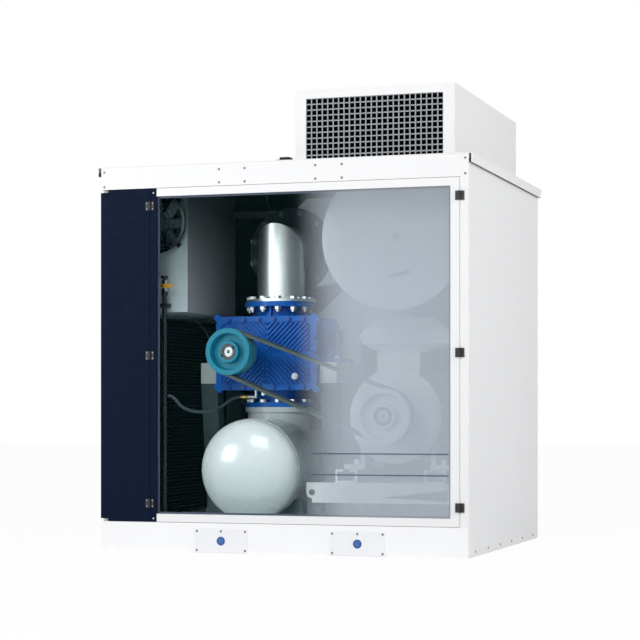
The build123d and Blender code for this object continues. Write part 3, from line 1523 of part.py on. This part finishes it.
# ---------------------------------------------------------------- nodes
def node_table():
    """Every node of the assembly with the shape that fills it."""
    return {
        "base_frame": base_frame(),
        "fork_covers": one([pocket_covers(-1), pocket_covers(1), pocket_badges()]),
        "panel_screws": one([pocket_cover_screws(), side_screws(), fascia_screws()]),
        "body_panels": one([side_panel(-1), side_panel(1), rear_panel()]),
        "frame_posts": one([corner_posts(), rear_header()]),
        "front_fascia": fascia(),
        "roof_panel": roof_panel(),
        "roof_trim": one([roof_seals(), cable_entry()]),
        "roof_hood": hood_shell(),
        "hood_mesh": hood_mesh(),
        "acoustic_lining": one([left_lining(), right_lining(), rear_lining(), roof_lining(), hood_lining()]),
        "blower_casing": blower_casing(),
        "blower_end_plates": one([end_plate(drive_plate_front, casing_front, -1),
                                  end_plate(casing_back, gear_plate_back, 1)]),
        "drive_cover": drive_cover(),
        "gear_cover": gear_cover(),
        "rotor_bearings": one([rotor_bearings(), drive_seal()]),
        "blower_bolts": one([cover_bolts(), flange_bolt_set(), foot_bolts(), duct_bolts()]),
        "blower_fittings": one([oil_fittings(), hose_fittings()]),
        "support_frame": one([blower_frame(), tank_saddles()]),
        "drive_rotor": drive_rotor(),
        "drive_gear": timing_gear(drive_x, 0),
        "blower_pulley": pulley(drive_x, shaft_z, blower_pulley_radius, shaft_end_radius, 50),
        "blower_bush": taper_bush(drive_x, shaft_z, 38, shaft_end_radius),
        "driven_rotor": rotor(driven_x, drive_plate_front - 18, gear_plate_back + 50),
        "driven_gear": timing_gear(driven_x, 180 / gear_teeth),
        "v_belts": v_belts(),
        "motor_frame": motor_frame(),
        "motor_shields": one([motor_shields(), motor_bearings()]),
        "motor_cowl": fan_cowl(),
        "terminal_box": one([terminal_box(), terminal_gasket(), terminal_lid()]),
        "slide_rails": one([slide_rails(), motor_foot_bolts()]),
        "swing_platform": swing_platform(),
        "swing_mounts": one([swing_brackets(), tension_jacks()]),
        "motor_shaft": one([motor_shaft(), motor_fan()]),
        "motor_pulley": pulley(motor_x, motor_z, motor_pulley_radius, motor_shaft_radius, 56),
        "motor_bush": taper_bush(motor_x, motor_z, 44, motor_shaft_radius),
        "discharge_tank": discharge_tank(),
        "intake_elbow": intake_elbow(),
        "intake_connector": intake_connector(),
        "intake_drum": intake_drum(),
        "drum_cover": one([drum_cover(), drum_nut(), drum_grip()]),
        "drum_cradle": drum_cradle(),
        "vent_duct": vent_duct(),
        "fan_housing": one([fan_ring(), fan_guard(), fan_motor()]),
        "fan_impeller": fan_impeller(),
        "drain_pipes": one([drain_pipes(), drain_clamps(), valve_caps()]),
        "valve_bodies": valve_bodies(),
        "drain_lever_right": valve_lever(drain_pipes_x[0]),
        "drain_lever_left": valve_lever(drain_pipes_x[1]),
        "drain_hose": routed(hose_route, hose_radius),
        "sensor_cables": one([routed(cable_route, 3.0), routed(lead_route, 3.0)]),
        "door_frame": door_frame(),
        "navy_stile": one([navy_stile(), stile_screws()]),
        "door_pane": door_pane(),
        "door_trim": one([pane_clips(), pane_rules()]),
        "narrow_leaf": one([narrow_leaf(), leaf_backing()]),
        "post_hinges": one([hinge_half(main_axis_x, 1, True), hinge_screws(main_axis_x, 1)]),
        "door_hinges": one([hinge_half(main_axis_x, -1, False), hinge_screws(main_axis_x, -1),
                            hinge_half(leaf_axis_x, 1, True), hinge_screws(leaf_axis_x, 1)]),
        "leaf_hinges": one([hinge_half(leaf_axis_x, -1, False), hinge_screws(leaf_axis_x, -1)]),
    }


if __name__ == "__main__":
    os.makedirs("parts", exist_ok=True)
    for node, shape in node_table().items():
        export_step(shape, f"parts/{node}.step")
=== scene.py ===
from math import radians

import bpy
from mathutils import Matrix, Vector


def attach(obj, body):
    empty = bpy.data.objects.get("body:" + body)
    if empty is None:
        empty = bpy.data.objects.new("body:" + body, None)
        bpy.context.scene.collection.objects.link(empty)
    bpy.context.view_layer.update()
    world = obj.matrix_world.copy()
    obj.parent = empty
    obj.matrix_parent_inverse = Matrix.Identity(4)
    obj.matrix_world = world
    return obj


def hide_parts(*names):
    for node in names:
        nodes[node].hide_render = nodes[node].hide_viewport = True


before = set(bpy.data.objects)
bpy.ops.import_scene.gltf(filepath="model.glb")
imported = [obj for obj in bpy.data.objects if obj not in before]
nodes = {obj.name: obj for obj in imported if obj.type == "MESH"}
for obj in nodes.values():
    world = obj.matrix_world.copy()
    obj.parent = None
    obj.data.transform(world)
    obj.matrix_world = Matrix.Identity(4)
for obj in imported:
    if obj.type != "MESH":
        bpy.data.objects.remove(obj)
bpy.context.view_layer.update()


# ---------------------------------------------------------------- camera
camera_data = bpy.data.cameras.new("camera")
camera = bpy.data.objects.new("camera", camera_data)
bpy.context.scene.collection.objects.link(camera)
camera_place = (2.915, -9.148, 0.645)
camera_turn = 17.95
camera.location = camera_place
camera.rotation_euler = (radians(90), 0, radians(camera_turn))
camera_data.sensor_width = 36
camera_data.lens = 109.24
camera_data.shift_y = 0.1458
camera_data.clip_end = 60
bpy.context.scene.camera = camera


# ---------------------------------------------------------------- hoses and cables
hose_radius = 0.007
cable_radius = 0.003


def soft_line(name, points, radius, body, node):
    """A smooth round line along a route's points.

    The points hold its thickness, because Blender widens a curve's bounds by the radius of its points.
    """
    curve = bpy.data.curves.new(name, "CURVE")
    curve.dimensions = "3D"
    curve.bevel_depth = 1.0
    curve.bevel_resolution = 6
    curve.use_fill_caps = True
    spline = curve.splines.new("NURBS")
    spline.points.add(len(points) - 1)
    for point, (x, y, z) in zip(spline.points, points):
        point.co = (x, y, z, 1)
        point.radius = radius
    spline.order_u = 3
    spline.use_endpoint_u = True
    spline.resolution_u = 12
    made = bpy.data.objects.new(name, curve)
    bpy.context.scene.collection.objects.link(made)
    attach(made, body)
    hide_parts(node)
    return made


hose_route = [(-0.594, -0.640, 0.728), (-0.570, -0.640, 0.728), (-0.545, -0.602, 0.672),
              (-0.490, -0.520, 0.646), (-0.425, -0.410, 0.664), (-0.386, -0.325, 0.724),
              (-0.344, -0.325, 0.724)]
cable_route = [(-0.262, -0.190, 1.7297), (-0.262, -0.190, 1.690), (-0.252, -0.182, 1.640),
               (-0.207, -0.125, 1.612), (-0.207, -0.125, 1.5703)]
lead_route = [(-0.6027, -0.640, 1.110), (-0.578, -0.640, 1.110), (-0.530, -0.560, 1.112),
              (-0.500, -0.420, 1.060), (-0.512, -0.300, 0.990), (-0.4723, -0.300, 0.990)]

hose = soft_line("oil_hose", hose_route, hose_radius, "enclosure", "drain_hose")
ceiling_cable = soft_line("ceiling_cable", cable_route, cable_radius, "enclosure", "sensor_cables")
lead = soft_line("sensor_lead", lead_route, cable_radius, "enclosure", "sensor_cables")


# ---------------------------------------------------------------- materials
def linear(hexa):
    """A hex colour as the linear values that a shader takes."""
    made = []
    for i in (0, 2, 4):
        v = int(hexa[i:i + 2], 16) / 255
        made.append(v / 12.92 if v <= 0.04045 else ((v + 0.055) / 1.055) ** 2.4)
    return (*made, 1)


class Nodes:
    """A material being built, with short ways to add and join its nodes."""

    def __init__(self, name):
        self.material = bpy.data.materials.new(name)
        self.material.use_nodes = True
        self.tree = self.material.node_tree
        self.tree.nodes.clear()
        self.out = self.tree.nodes.new("ShaderNodeOutputMaterial")
        self.place = self.add("ShaderNodeTexCoord").outputs["Object"]

    def add(self, kind, **values):
        node = self.tree.nodes.new(kind)
        for key, value in values.items():
            setattr(node, key, value)
        return node

    def join(self, source, target):
        self.tree.links.new(source, target)

    def set(self, socket, value):
        if isinstance(value, bpy.types.NodeSocket):
            self.join(value, socket)
        else:
            socket.default_value = value

    def math(self, operation, a, b=0.0, clamp=False):
        node = self.add("ShaderNodeMath", operation=operation, use_clamp=clamp)
        self.set(node.inputs[0], a)
        self.set(node.inputs[1], b)
        return node.outputs[0]

    def all_of(self, *shares):
        """The product of several shares."""
        product = shares[0]
        for share in shares[1:]:
            product = self.math("MULTIPLY", product, share)
        return product

    def above(self, value, edge):
        return self.math("GREATER_THAN", value, edge)

    def below(self, value, edge):
        return self.math("LESS_THAN", value, edge)

    def axes(self):
        node = self.add("ShaderNodeSeparateXYZ")
        self.join(self.place, node.inputs[0])
        return node.outputs

    def facing(self):
        """The surface's normal, as its three parts."""
        node = self.add("ShaderNodeSeparateXYZ")
        self.join(self.add("ShaderNodeNewGeometry").outputs["Normal"], node.inputs[0])
        return node.outputs

    def stretched(self, scale):
        node = self.add("ShaderNodeMapping")
        node.inputs["Scale"].default_value = scale
        self.join(self.place, node.inputs["Vector"])
        return node.outputs[0]

    def noise(self, scale, detail=4.0, vector=None):
        node = self.add("ShaderNodeTexNoise")
        self.join(vector or self.place, node.inputs["Vector"])
        node.inputs["Scale"].default_value = scale
        node.inputs["Detail"].default_value = detail
        node.inputs["Roughness"].default_value = 0.55
        return node.outputs["Fac"]

    def cells(self, scale):
        node = self.add("ShaderNodeTexVoronoi", feature="F1")
        self.join(self.place, node.inputs["Vector"])
        node.inputs["Scale"].default_value = scale
        return node

    def between(self, value, low, high, to_low=0.0, to_high=1.0):
        node = self.add("ShaderNodeMapRange")
        self.set(node.inputs["Value"], value)
        for key, number in (("From Min", low), ("From Max", high), ("To Min", to_low), ("To Max", to_high)):
            node.inputs[key].default_value = number
        return node.outputs[0]

    def mix(self, share, a, b):
        node = self.add("ShaderNodeMix", data_type="RGBA", blend_type="MIX")
        self.set(node.inputs[0], share)
        self.set(node.inputs[6], a)
        self.set(node.inputs[7], b)
        return node.outputs[2]

    def bump(self, height, strength, distance):
        node = self.add("ShaderNodeBump")
        self.join(height, node.inputs["Height"])
        node.inputs["Strength"].default_value = strength
        node.inputs["Distance"].default_value = distance
        return node.outputs[0]

    def shader(self, color, rough, metal=0.0, *, normal, coat=0.0, specular=0.5):
        node = self.add("ShaderNodeBsdfPrincipled")
        self.set(node.inputs["Base Color"], color)
        self.set(node.inputs["Roughness"], rough)
        self.set(node.inputs["Metallic"], metal)
        node.inputs["Coat Weight"].default_value = coat
        node.inputs["Coat Roughness"].default_value = 0.1
        node.inputs["Specular IOR Level"].default_value = specular
        self.join(normal, node.inputs["Normal"])
        return node.outputs[0]

    def sum_of(self, first, second):
        """Two shaders added."""
        node = self.add("ShaderNodeAddShader")
        self.join(first, node.inputs[0])
        self.join(second, node.inputs[1])
        return node.outputs[0]

    def either(self, share, first, second):
        """The first shader where share is 0, and the second where it is 1."""
        node = self.add("ShaderNodeMixShader")
        self.join(share, node.inputs[0])
        self.join(first, node.inputs[1])
        self.join(second, node.inputs[2])
        return node.outputs[0]

    def done(self, shader):
        self.join(shader, self.out.inputs["Surface"])
        return self.material


def tones(base, spread):
    """A darker and a lighter neighbour of one colour."""
    dark = tuple(v * (1 - spread) for v in base[:3]) + (1,)
    light = tuple(min(1, v * (1 + spread)) for v in base[:3]) + (1,)
    return dark, light


def paint(name, hexa, rough=0.42, spread=0.05, grain=900, bump=0.06, coat=0.0, patch=5.0, dust=0.0, masks=(),
          specular=0.5):
    """Sprayed paint: slow tone changes, fine orange peel, worn gloss and a little dust on level faces."""
    m = Nodes(name)
    dark, light = tones(linear(hexa), spread)
    color = m.mix(m.noise(patch, 5), dark, light)
    color = m.mix(m.between(m.noise(70, 3), 0.55, 0.8, 0, 0.12), color, tones(linear(hexa), 0.25)[0])
    if dust:
        level = m.all_of(m.between(m.facing()[2], 0.5, 1.0, 0, dust), m.noise(18, 4))
        color = m.mix(level, color, linear("b9b6ae"))
    for share, other in masks:
        color = m.mix(share(m), color, linear(other))
    gloss = m.between(m.noise(26, 4), 0.3, 0.7, rough - 0.07, rough + 0.07)
    return m.done(m.shader(color, gloss, normal=m.bump(m.noise(grain, 2), bump, 0.0006), coat=coat,
                           specular=specular))


def metal(name, hexa, rough, spread=0.08, grain=(60, 60, 60), bump=0.12, stain=0.2):
    """Bare metal with drawn or ground marks and a few stains."""
    m = Nodes(name)
    dark, light = tones(linear(hexa), spread)
    marks = m.noise(14, 6, m.stretched(grain))
    color = m.mix(marks, dark, light)
    color = m.mix(m.between(m.noise(22, 5), 0.56, 0.75, 0, stain), color, tones(linear(hexa), 0.5)[0])
    gloss = m.between(marks, 0.3, 0.7, rough - 0.06, rough + 0.1)
    return m.done(m.shader(color, gloss, 1.0, normal=m.bump(marks, bump, 0.0004)))


def rubbery(name, hexa, rough=0.7, bump=0.25, grain=500, spread=0.2):
    """Rubber or textured plastic."""
    m = Nodes(name)
    dark, light = tones(linear(hexa), spread)
    color = m.mix(m.noise(9, 4), dark, light)
    gloss = m.between(m.noise(34, 4), 0.3, 0.7, rough - 0.1, rough + 0.1)
    return m.done(m.shader(color, gloss, normal=m.bump(m.noise(grain, 3), bump, 0.0008), specular=0.35))


elbow_ring_front = 0.0195
elbow_ring_low = 1.2


def galvanised_sheet():
    """Zinc spangle: crystal cells of slightly different tone and gloss, with soft grey runs.

    The elbow's rear ring is coloured dark teal-black as painted shade, so that it sinks into the shade
    behind the elbow; the real ring is light grey.
    """
    m = Nodes("galvanised_sheet")
    cells = m.cells(120)
    tone = m.add("ShaderNodeSeparateColor")
    m.join(cells.outputs["Color"], tone.inputs[0])
    color = m.mix(tone.outputs[0], linear("dfe4e5"), linear("e8ecec"))
    runs = m.between(m.noise(6, 5, m.stretched((3, 3, 0.5))), 0.45, 0.7, 0, 0.3)
    color = m.mix(runs, color, linear("b9c3c4"))
    gloss = m.math("ADD", m.between(tone.outputs[1], 0, 1, 0.36, 0.4), m.between(runs, 0, 0.3, 0, 0.06))
    x, y, z = m.axes()
    # Painted shade: the rear ring takes a dark teal-black instead of zinc, so that it sinks into the shade
    # behind the elbow.
    shaded_ring = m.all_of(m.above(y, elbow_ring_front), m.above(z, elbow_ring_low))
    color = m.mix(shaded_ring, color, m.mix(m.noise(20), linear("1d292b"), linear("2c3b3e")))
    gloss = m.math("ADD", gloss, m.math("MULTIPLY", shaded_ring, 0.3))
    return m.done(m.shader(color, gloss, m.between(shaded_ring, 0, 1, 1, 0),
                           normal=m.bump(m.noise(30, 4), 0.03, 0.001)))


foam_ribs_per_metre = 58.0
foam_ribs_right = -0.8
board_front = 0.695
board_left, board_right = -0.46, 0.42
board_low, board_high = 0.98, 1.56


def foam_sheet():
    """Dark open-cell foam, with lighter bands at the ribs' pitch as painted highlight where the ribs catch
    the light, and the tan board behind the blower as a colour on it.
    """
    m = Nodes("foam_sheet")
    x, y, z = m.axes()
    color = m.mix(m.noise(5, 3), linear("03090a"), linear("071113"))
    # Painted highlight: lighter teal bands at the ribs' pitch, at the left wall only, stand for light
    # catching the foam's ribs.
    level = m.math("FRACT", m.math("MULTIPLY", z, foam_ribs_per_metre))
    rib_highlight = m.all_of(m.between(level, 0.35, 0.6), m.between(level, 0.97, 0.8), m.below(x, foam_ribs_right))
    color = m.mix(rib_highlight, color, linear("14282d"))
    inside = m.all_of(m.above(y, board_front), m.above(x, board_left), m.below(x, board_right),
                      m.above(z, board_low), m.below(z, board_high))
    grain = m.noise(9, 6, m.stretched((1, 1, 14)))
    color = m.mix(inside, color, m.mix(grain, linear("6b5a45"), linear("a8937a")))
    pores = m.cells(420).outputs["Distance"]
    gloss = m.between(m.noise(40), 0.3, 0.7, 0.8, 0.95)
    return m.done(m.shader(color, gloss, normal=m.bump(pores, 0.1, 0.0006), specular=0.05))


def disc_mask(centres, radius, front):
    """Share that is 1 within round plugs on the front."""
    def share(m):
        x, y, z = m.axes()
        near = m.below(y, front)
        found = None
        for cx, cz in centres:
            dx = m.math("POWER", m.math("SUBTRACT", x, cx), 2.0)
            dz = m.math("POWER", m.math("SUBTRACT", z, cz), 2.0)
            inside = m.below(m.math("ADD", dx, dz), radius * radius)
            found = inside if found is None else m.math("ADD", found, inside, clamp=True)
        return m.all_of(found, near)
    return share


blower_middle = -0.125
casing_half_length = 0.15
cover_bolts_low, cover_bolts_high = 0.74, 1.13
rear_flange_bolts_low = 1.25


def blower_screws():
    """Zinc bolts on the port flanges, painted ones on the covers, and dark grey ones on the rear ring,
    darkened with it as painted shade.
    """
    m = Nodes("blower_screws")
    x, y, z = m.axes()
    from_middle = m.math("ABSOLUTE", m.math("SUBTRACT", y, blower_middle))
    painted = m.all_of(m.above(z, cover_bolts_low), m.below(z, cover_bolts_high),
                       m.above(from_middle, casing_half_length))
    marks = m.noise(50, 4)
    color = m.mix(marks, linear("c4c7ca"), linear("e0e3e6"))
    color = m.mix(painted, color, m.mix(marks, linear("1a49a2"), linear("2056b8")))
    # Painted shade: the bolts on the elbow's rear ring are dark grey, so that they sink into the shade with
    # the ring.
    color = m.mix(m.above(z, rear_flange_bolts_low), color, linear("56666a"))
    gloss = m.between(marks, 0.3, 0.7, 0.25, 0.38)
    return m.done(m.shader(color, gloss, m.between(painted, 0, 1, 1.0, 0.0),
                           normal=m.bump(marks, 0.08, 0.0004)))


def proud_mask(front):
    """Share that is 1 on what stands in front of a plane."""
    def share(m):
        return m.below(m.axes()[1], front)
    return share


hinge_plate_front = -0.7613
hinge_axes = (0.849, -0.639)
hinge_knuckle_reach = 0.0105


def hinge_plastic():
    """Black hinge plastic with its screws, light grey at the left as a painted glint and almost black at the
    right as painted shade.
    """
    m = Nodes("hinge_plastic")
    x, y, z = m.axes()
    off_axes = [m.above(m.math("ABSOLUTE", m.math("SUBTRACT", x, axis)), hinge_knuckle_reach)
                for axis in hinge_axes]
    # Painted glint and shade: the screws show light grey at the left and almost vanish into the black at the
    # right.
    screw_glint = m.math("ADD", m.math("MULTIPLY", m.below(x, 0.0), 0.75), 0.05)
    screw = m.all_of(m.below(y, hinge_plate_front), *off_axes, screw_glint)
    color = m.mix(m.noise(30), linear("0c0d10"), linear("17181c"))
    color = m.mix(screw, color, linear("b8bcc4"))
    gloss = m.between(m.noise(60), 0.3, 0.7, 0.42, 0.55)
    return m.done(m.shader(color, gloss, normal=m.bump(m.noise(700, 2), 0.2, 0.0005)))


clear_tint = (0.965, 0.985, 0.985, 1)
haze_start, haze_full = 0.06, 0.37
haze_shade_low, haze_shade_high = 1.2, 1.66


def pane_sheet():
    """Window sheet: clear at the left, fading into a pale printed haze at the right.

    Light falls through it as if it were clear all over. The haze darkens towards the top as painted shade
    under the roof.
    """
    m = Nodes("pane_sheet")
    x, y, z = m.axes()
    fade = m.add("ShaderNodeMapRange", interpolation_type="SMOOTHSTEP")
    m.join(x, fade.inputs["Value"])
    fade.inputs["From Min"].default_value = haze_start
    fade.inputs["From Max"].default_value = haze_full
    fade = fade.outputs[0]
    # Painted shade: the haze's colour falls to 0.74 of itself towards the top, besides a slight random tone
    # change.
    drift_and_top_shade = m.all_of(m.between(m.noise(1.6, 3), 0.3, 0.7, 0.97, 1.03),
                     m.between(z, haze_shade_low, haze_shade_high, 1.0, 0.74))
    through = m.add("ShaderNodeBsdfTransparent")
    m.join(m.mix(fade, clear_tint, (0.45, 0.45, 0.45, 1)), through.inputs[0])
    haze = m.add("ShaderNodeBsdfDiffuse")
    scaled = m.add("ShaderNodeVectorMath", operation="SCALE")
    m.join(m.mix(fade, (0, 0, 0, 1), (0.160, 0.177, 0.198, 1)), scaled.inputs[0])
    m.join(drift_and_top_shade, scaled.inputs["Scale"])
    m.join(scaled.outputs[0], haze.inputs[0])
    gloss = m.add("ShaderNodeBsdfGlossy")
    gloss.inputs["Roughness"].default_value = 0.03
    m.join(m.mix(fade, (0.001, 0.003, 0.0035, 1), (0.112, 0.123, 0.138, 1)), gloss.inputs["Color"])
    m.join(m.bump(m.noise(2.5, 2), 0.02, 0.002), gloss.inputs["Normal"])
    whole = m.sum_of(through.outputs[0], m.sum_of(haze.outputs[0], gloss.outputs[0]))
    clear = m.add("ShaderNodeBsdfTransparent")
    clear.inputs[0].default_value = clear_tint
    shadow = m.add("ShaderNodeLightPath").outputs["Is Shadow Ray"]
    return m.done(m.either(shadow, whole, clear.outputs[0]))


duct_shade_start = 1.05


def vent_sheet():
    """Duct paint: pale blue-grey in front; the side that faces the machine is browner and darker, its
    darkness painted shade, and both darken towards the top as painted shade.
    """
    m = Nodes("duct_paint_and_shade")
    z = m.axes()[2]
    # Painted shade: both faces darken from z 1.05 m towards the top, and the +X side is a darker, browner
    # copy of the front.
    front = m.mix(m.between(z, duct_shade_start, 1.6), linear("cddade"), linear("3b5258"))
    side = m.mix(m.between(z, duct_shade_start, 1.65), linear("a3a2a4"), linear("414648"))
    color = m.mix(m.between(m.facing()[0], 0.3, 0.7), front, side)
    color = m.mix(m.between(m.noise(8, 5), 0.4, 0.7, 0, 0.12), color, linear("6f7c80"))
    gloss = m.between(m.noise(26, 4), 0.3, 0.7, 0.42, 0.56)
    return m.done(m.shader(color, gloss, normal=m.bump(m.noise(900, 2), 0.06, 0.0006)))


brass_right = -0.3075


def fittings_metal():
    """Brass hose end at the left, white metal elsewhere."""
    m = Nodes("fittings_metal")
    brass = m.below(m.axes()[0], brass_right)
    color = m.mix(m.noise(60, 4), linear("c4c8cc"), linear("e6e8ea"))
    color = m.mix(brass, color, m.mix(m.noise(50, 4), linear("a98a45"), linear("cfb26a")))
    gloss = m.between(m.noise(80), 0.3, 0.7, 0.22, 0.4)
    return m.done(m.shader(color, gloss, m.between(brass, 0, 1, 0.6, 1.0),
                           normal=m.bump(m.noise(300), 0.1, 0.0004)))


badge_centres = ((-0.284, 0.055), (0.374, 0.055))
badge_front = -0.758
stile_edge_front = -0.7572
tank_shade_top, tank_shade_low = 0.45, 0.12
frame_shade_below = 0.79

white = paint("white_paint", "e8e8e8", 0.5, 0.012, dust=0.1)
white_base = paint("base_paint", "f1f1f1", 0.5, 0.015, dust=0.1)
cover_paint = paint("cover_paint", "ebebed", 0.5, 0.015,
                    masks=[(disc_mask(badge_centres, 0.0203, badge_front), "1f4f86"),
                           (disc_mask(badge_centres, 0.0125, badge_front), "2c66a4")])
navy_stile_paint = paint("navy_stile_paint", "07142b", 0.5, 0.1, specular=0.05,
                         masks=[(proud_mask(stile_edge_front), "e8eaee")])
leaf_paint = paint("leaf_paint", "07142b", 0.5, 0.1, specular=0.05)
blue = paint("blower_enamel", "0f66c6", 0.36, 0.12, grain=260, bump=0.22, coat=0.05, patch=12, dust=0.05,
             specular=0.25)
# Painted shade: the tank's paint darkens towards the bottom, from 0.45 m down to 0.12 m.
tank_paint = paint("tank_enamel", "dfe6e7", 0.24, 0.03, bump=0.05, coat=0.5, dust=0.1,
                   masks=[(lambda m: m.between(m.axes()[2], tank_shade_top, tank_shade_low, 0, 0.75),
                           "98acae")])
grey = paint("grey_enamel", "c9cdd0", 0.42, 0.05, bump=0.08, dust=0.2)
duct_grey = vent_sheet()
# Painted shade: the support frame is dark teal-grey below 0.79 m, and light grey above.
frame_grey_and_shade = paint("frame_grey_and_shade", "3e5054", 0.45, 0.08, bump=0.1, dust=0.3,
                   masks=[(lambda m: m.above(m.axes()[2], frame_shade_below), "c3cccc")])
motor_paint = paint("motor_enamel", "e4e5ea", 0.45, 0.05, grain=400, bump=0.16, dust=0.3)
teal = paint("teal_enamel", "067f99", 0.34, 0.07, bump=0.08, coat=0.05, specular=0.3)
pulley_grey = paint("pulley_enamel", "cbd3de", 0.4, 0.06, bump=0.08)
mesh_wire = metal("mesh_wire", "7a7d80", 0.5, 0.05, (20, 20, 20), 0.05, 0.1)
bolts = metal("panel_screw_steel", "6e7174", 0.4, 0.1, (40, 40, 40), 0.08, 0.15)
steel = metal("ground_steel", "b9bcbf", 0.3, 0.06, (10, 90, 10), 0.08, 0.1)
iron = metal("bush_iron", "4a4f52", 0.45, 0.2, (20, 20, 20), 0.2, 0.3)
chrome = metal("chrome_plate", "dfe2e4", 0.12, 0.03, (20, 20, 20), 0.02, 0.05)
galvanised = galvanised_sheet()
foam = foam_sheet()
plastic = rubbery("black_plastic", "121518", 0.5, 0.12)
fan_plastic = rubbery("fan_plastic", "0c1518", 0.3, 0.1)
blade_plastic = rubbery("blade_plastic", "5c7074", 0.35, 0.1)
seal_rubber = rubbery("seal_rubber", "0e0f11", 0.75, 0.2)
belt_rubber = rubbery("belt_rubber", "475351", 0.5, 0.2)
hose_rubber = rubbery("hose_rubber", "47585a", 0.5, 0.15)
cable_rubber = rubbery("cable_rubber", "2b3a3d", 0.55, 0.1)
rule_paint = rubbery("rule_paint", "4a5266", 0.6, 0.05)
yellow = rubbery("yellow_dip", "d89a12", 0.4, 0.1, 300, 0.06)
hinges = hinge_plastic()
pane = pane_sheet()
fittings = fittings_metal()

finish = {
    "base_frame": white_base, "fork_covers": cover_paint, "panel_screws": bolts, "body_panels": white,
    "frame_posts": white, "front_fascia": white, "roof_panel": white, "roof_trim": seal_rubber,
    "roof_hood": white, "hood_mesh": mesh_wire, "acoustic_lining": foam, "blower_casing": blue,
    "blower_end_plates": blue, "drive_cover": blue, "gear_cover": blue, "rotor_bearings": steel,
    "blower_bolts": blower_screws(), "blower_fittings": fittings, "support_frame": frame_grey_and_shade,
    "v_belts": belt_rubber, "swing_mounts": frame_grey_and_shade, "discharge_tank": tank_paint,
    "intake_elbow": galvanised, "intake_connector": grey, "intake_drum": grey, "drum_cover": grey,
    "drum_cradle": grey, "vent_duct": duct_grey, "fan_housing": fan_plastic, "drain_pipes": plastic,
    "valve_bodies": chrome, "drain_hose": hose_rubber, "sensor_cables": cable_rubber, "post_hinges": hinges,
    "door_frame": white, "navy_stile": navy_stile_paint, "door_pane": pane, "door_trim": rule_paint,
    "door_hinges": hinges, "narrow_leaf": leaf_paint, "leaf_hinges": hinges, "drive_rotor": steel,
    "drive_gear": steel, "blower_pulley": teal, "blower_bush": iron, "driven_rotor": steel,
    "driven_gear": steel, "motor_frame": motor_paint, "motor_shields": motor_paint,
    "motor_cowl": motor_paint, "terminal_box": motor_paint, "slide_rails": galvanised,
    "swing_platform": white, "motor_shaft": steel, "motor_pulley": pulley_grey, "motor_bush": iron,
    "fan_impeller": blade_plastic, "drain_lever_right": yellow, "drain_lever_left": yellow,
}
for name, material in finish.items():
    nodes[name].data.materials.clear()
    nodes[name].data.materials.append(material)
hose.data.materials.append(hose_rubber)
ceiling_cable.data.materials.append(cable_rubber)
lead.data.materials.append(cable_rubber)


# ---------------------------------------------------------------- floor, backdrop and light
floor_reach = 30
floor_glow = 0.96
soft_light = 0.45


def stage_floor():
    """Plain pale floor: it takes the shadow, and shows near white to the camera."""
    mesh = bpy.data.meshes.new("floor")
    r = floor_reach
    mesh.from_pydata([(-r, -r, 0), (r, -r, 0), (r, r, 0), (-r, r, 0)], [], [(0, 1, 2, 3)])
    floor = bpy.data.objects.new("floor", mesh)
    bpy.context.scene.collection.objects.link(floor)
    m = Nodes("floor_paint")
    diffuse = m.add("ShaderNodeBsdfDiffuse")
    m.join(m.mix(m.noise(2, 3), linear("e9eaec"), linear("f1f2f3")), diffuse.inputs[0])
    glow = m.add("ShaderNodeEmission")
    glow.inputs["Color"].default_value = (1, 1, 1, 1)
    glow.inputs["Strength"].default_value = 1.0
    rays = m.add("ShaderNodeLightPath")
    seen = m.math("ADD", rays.outputs["Is Camera Ray"], rays.outputs["Is Glossy Ray"], clamp=True)
    seen = m.math("ADD", seen, rays.outputs["Is Transmission Ray"], clamp=True)
    share = m.math("MULTIPLY", seen, floor_glow)
    mesh.materials.append(m.done(m.either(share, diffuse.outputs[0], glow.outputs[0])))


def stage_world():
    """White to the camera and in reflections, and a soft, slightly cool light on everything else."""
    world = bpy.data.worlds.new("studio")
    bpy.context.scene.world = world
    world.use_nodes = True
    tree = world.node_tree
    tree.nodes.clear()
    out = tree.nodes.new("ShaderNodeOutputWorld")
    seen = tree.nodes.new("ShaderNodeBackground")
    seen.inputs["Color"].default_value = (1, 1, 1, 1)
    seen.inputs["Strength"].default_value = 1.0
    soft = tree.nodes.new("ShaderNodeBackground")
    soft.inputs["Color"].default_value = (0.97, 0.98, 1.0, 1)
    soft.inputs["Strength"].default_value = soft_light
    rays = tree.nodes.new("ShaderNodeLightPath")
    share = rays.outputs["Is Camera Ray"]
    for kind in ("Is Glossy Ray", "Is Transmission Ray"):
        either = tree.nodes.new("ShaderNodeMath")
        either.operation = "ADD"
        either.use_clamp = True
        tree.links.new(share, either.inputs[0])
        tree.links.new(rays.outputs[kind], either.inputs[1])
        share = either.outputs[0]
    blend = tree.nodes.new("ShaderNodeMixShader")
    tree.links.new(share, blend.inputs[0])
    tree.links.new(soft.outputs[0], blend.inputs[1])
    tree.links.new(seen.outputs[0], blend.inputs[2])
    tree.links.new(blend.outputs[0], out.inputs["Surface"])


def softbox(name, place, target, width, height, power):
    """A rectangular lamp that faces its target."""
    light = bpy.data.lights.new(name, "AREA")
    light.shape = "RECTANGLE"
    light.size = width
    light.size_y = height
    light.energy = power
    holder = bpy.data.objects.new(name, light)
    bpy.context.scene.collection.objects.link(holder)
    holder.location = place
    holder.rotation_euler = (Vector(target) - Vector(place)).to_track_quat("-Z", "Y").to_euler()


stage_floor()
stage_world()
softbox("key", (-0.4, -7.5, 4.6), (0, 0, 0.9), 3.0, 2.4, 175)
softbox("front", (-4.6, -6.4, 2.2), (0, 0, 0.9), 2.0, 2.0, 150)
softbox("side", (6.5, -2.0, 3.5), (0.8, 0, 1.0), 3.0, 3.0, 172)
bpy.context.scene.view_settings.view_transform = "Standard"
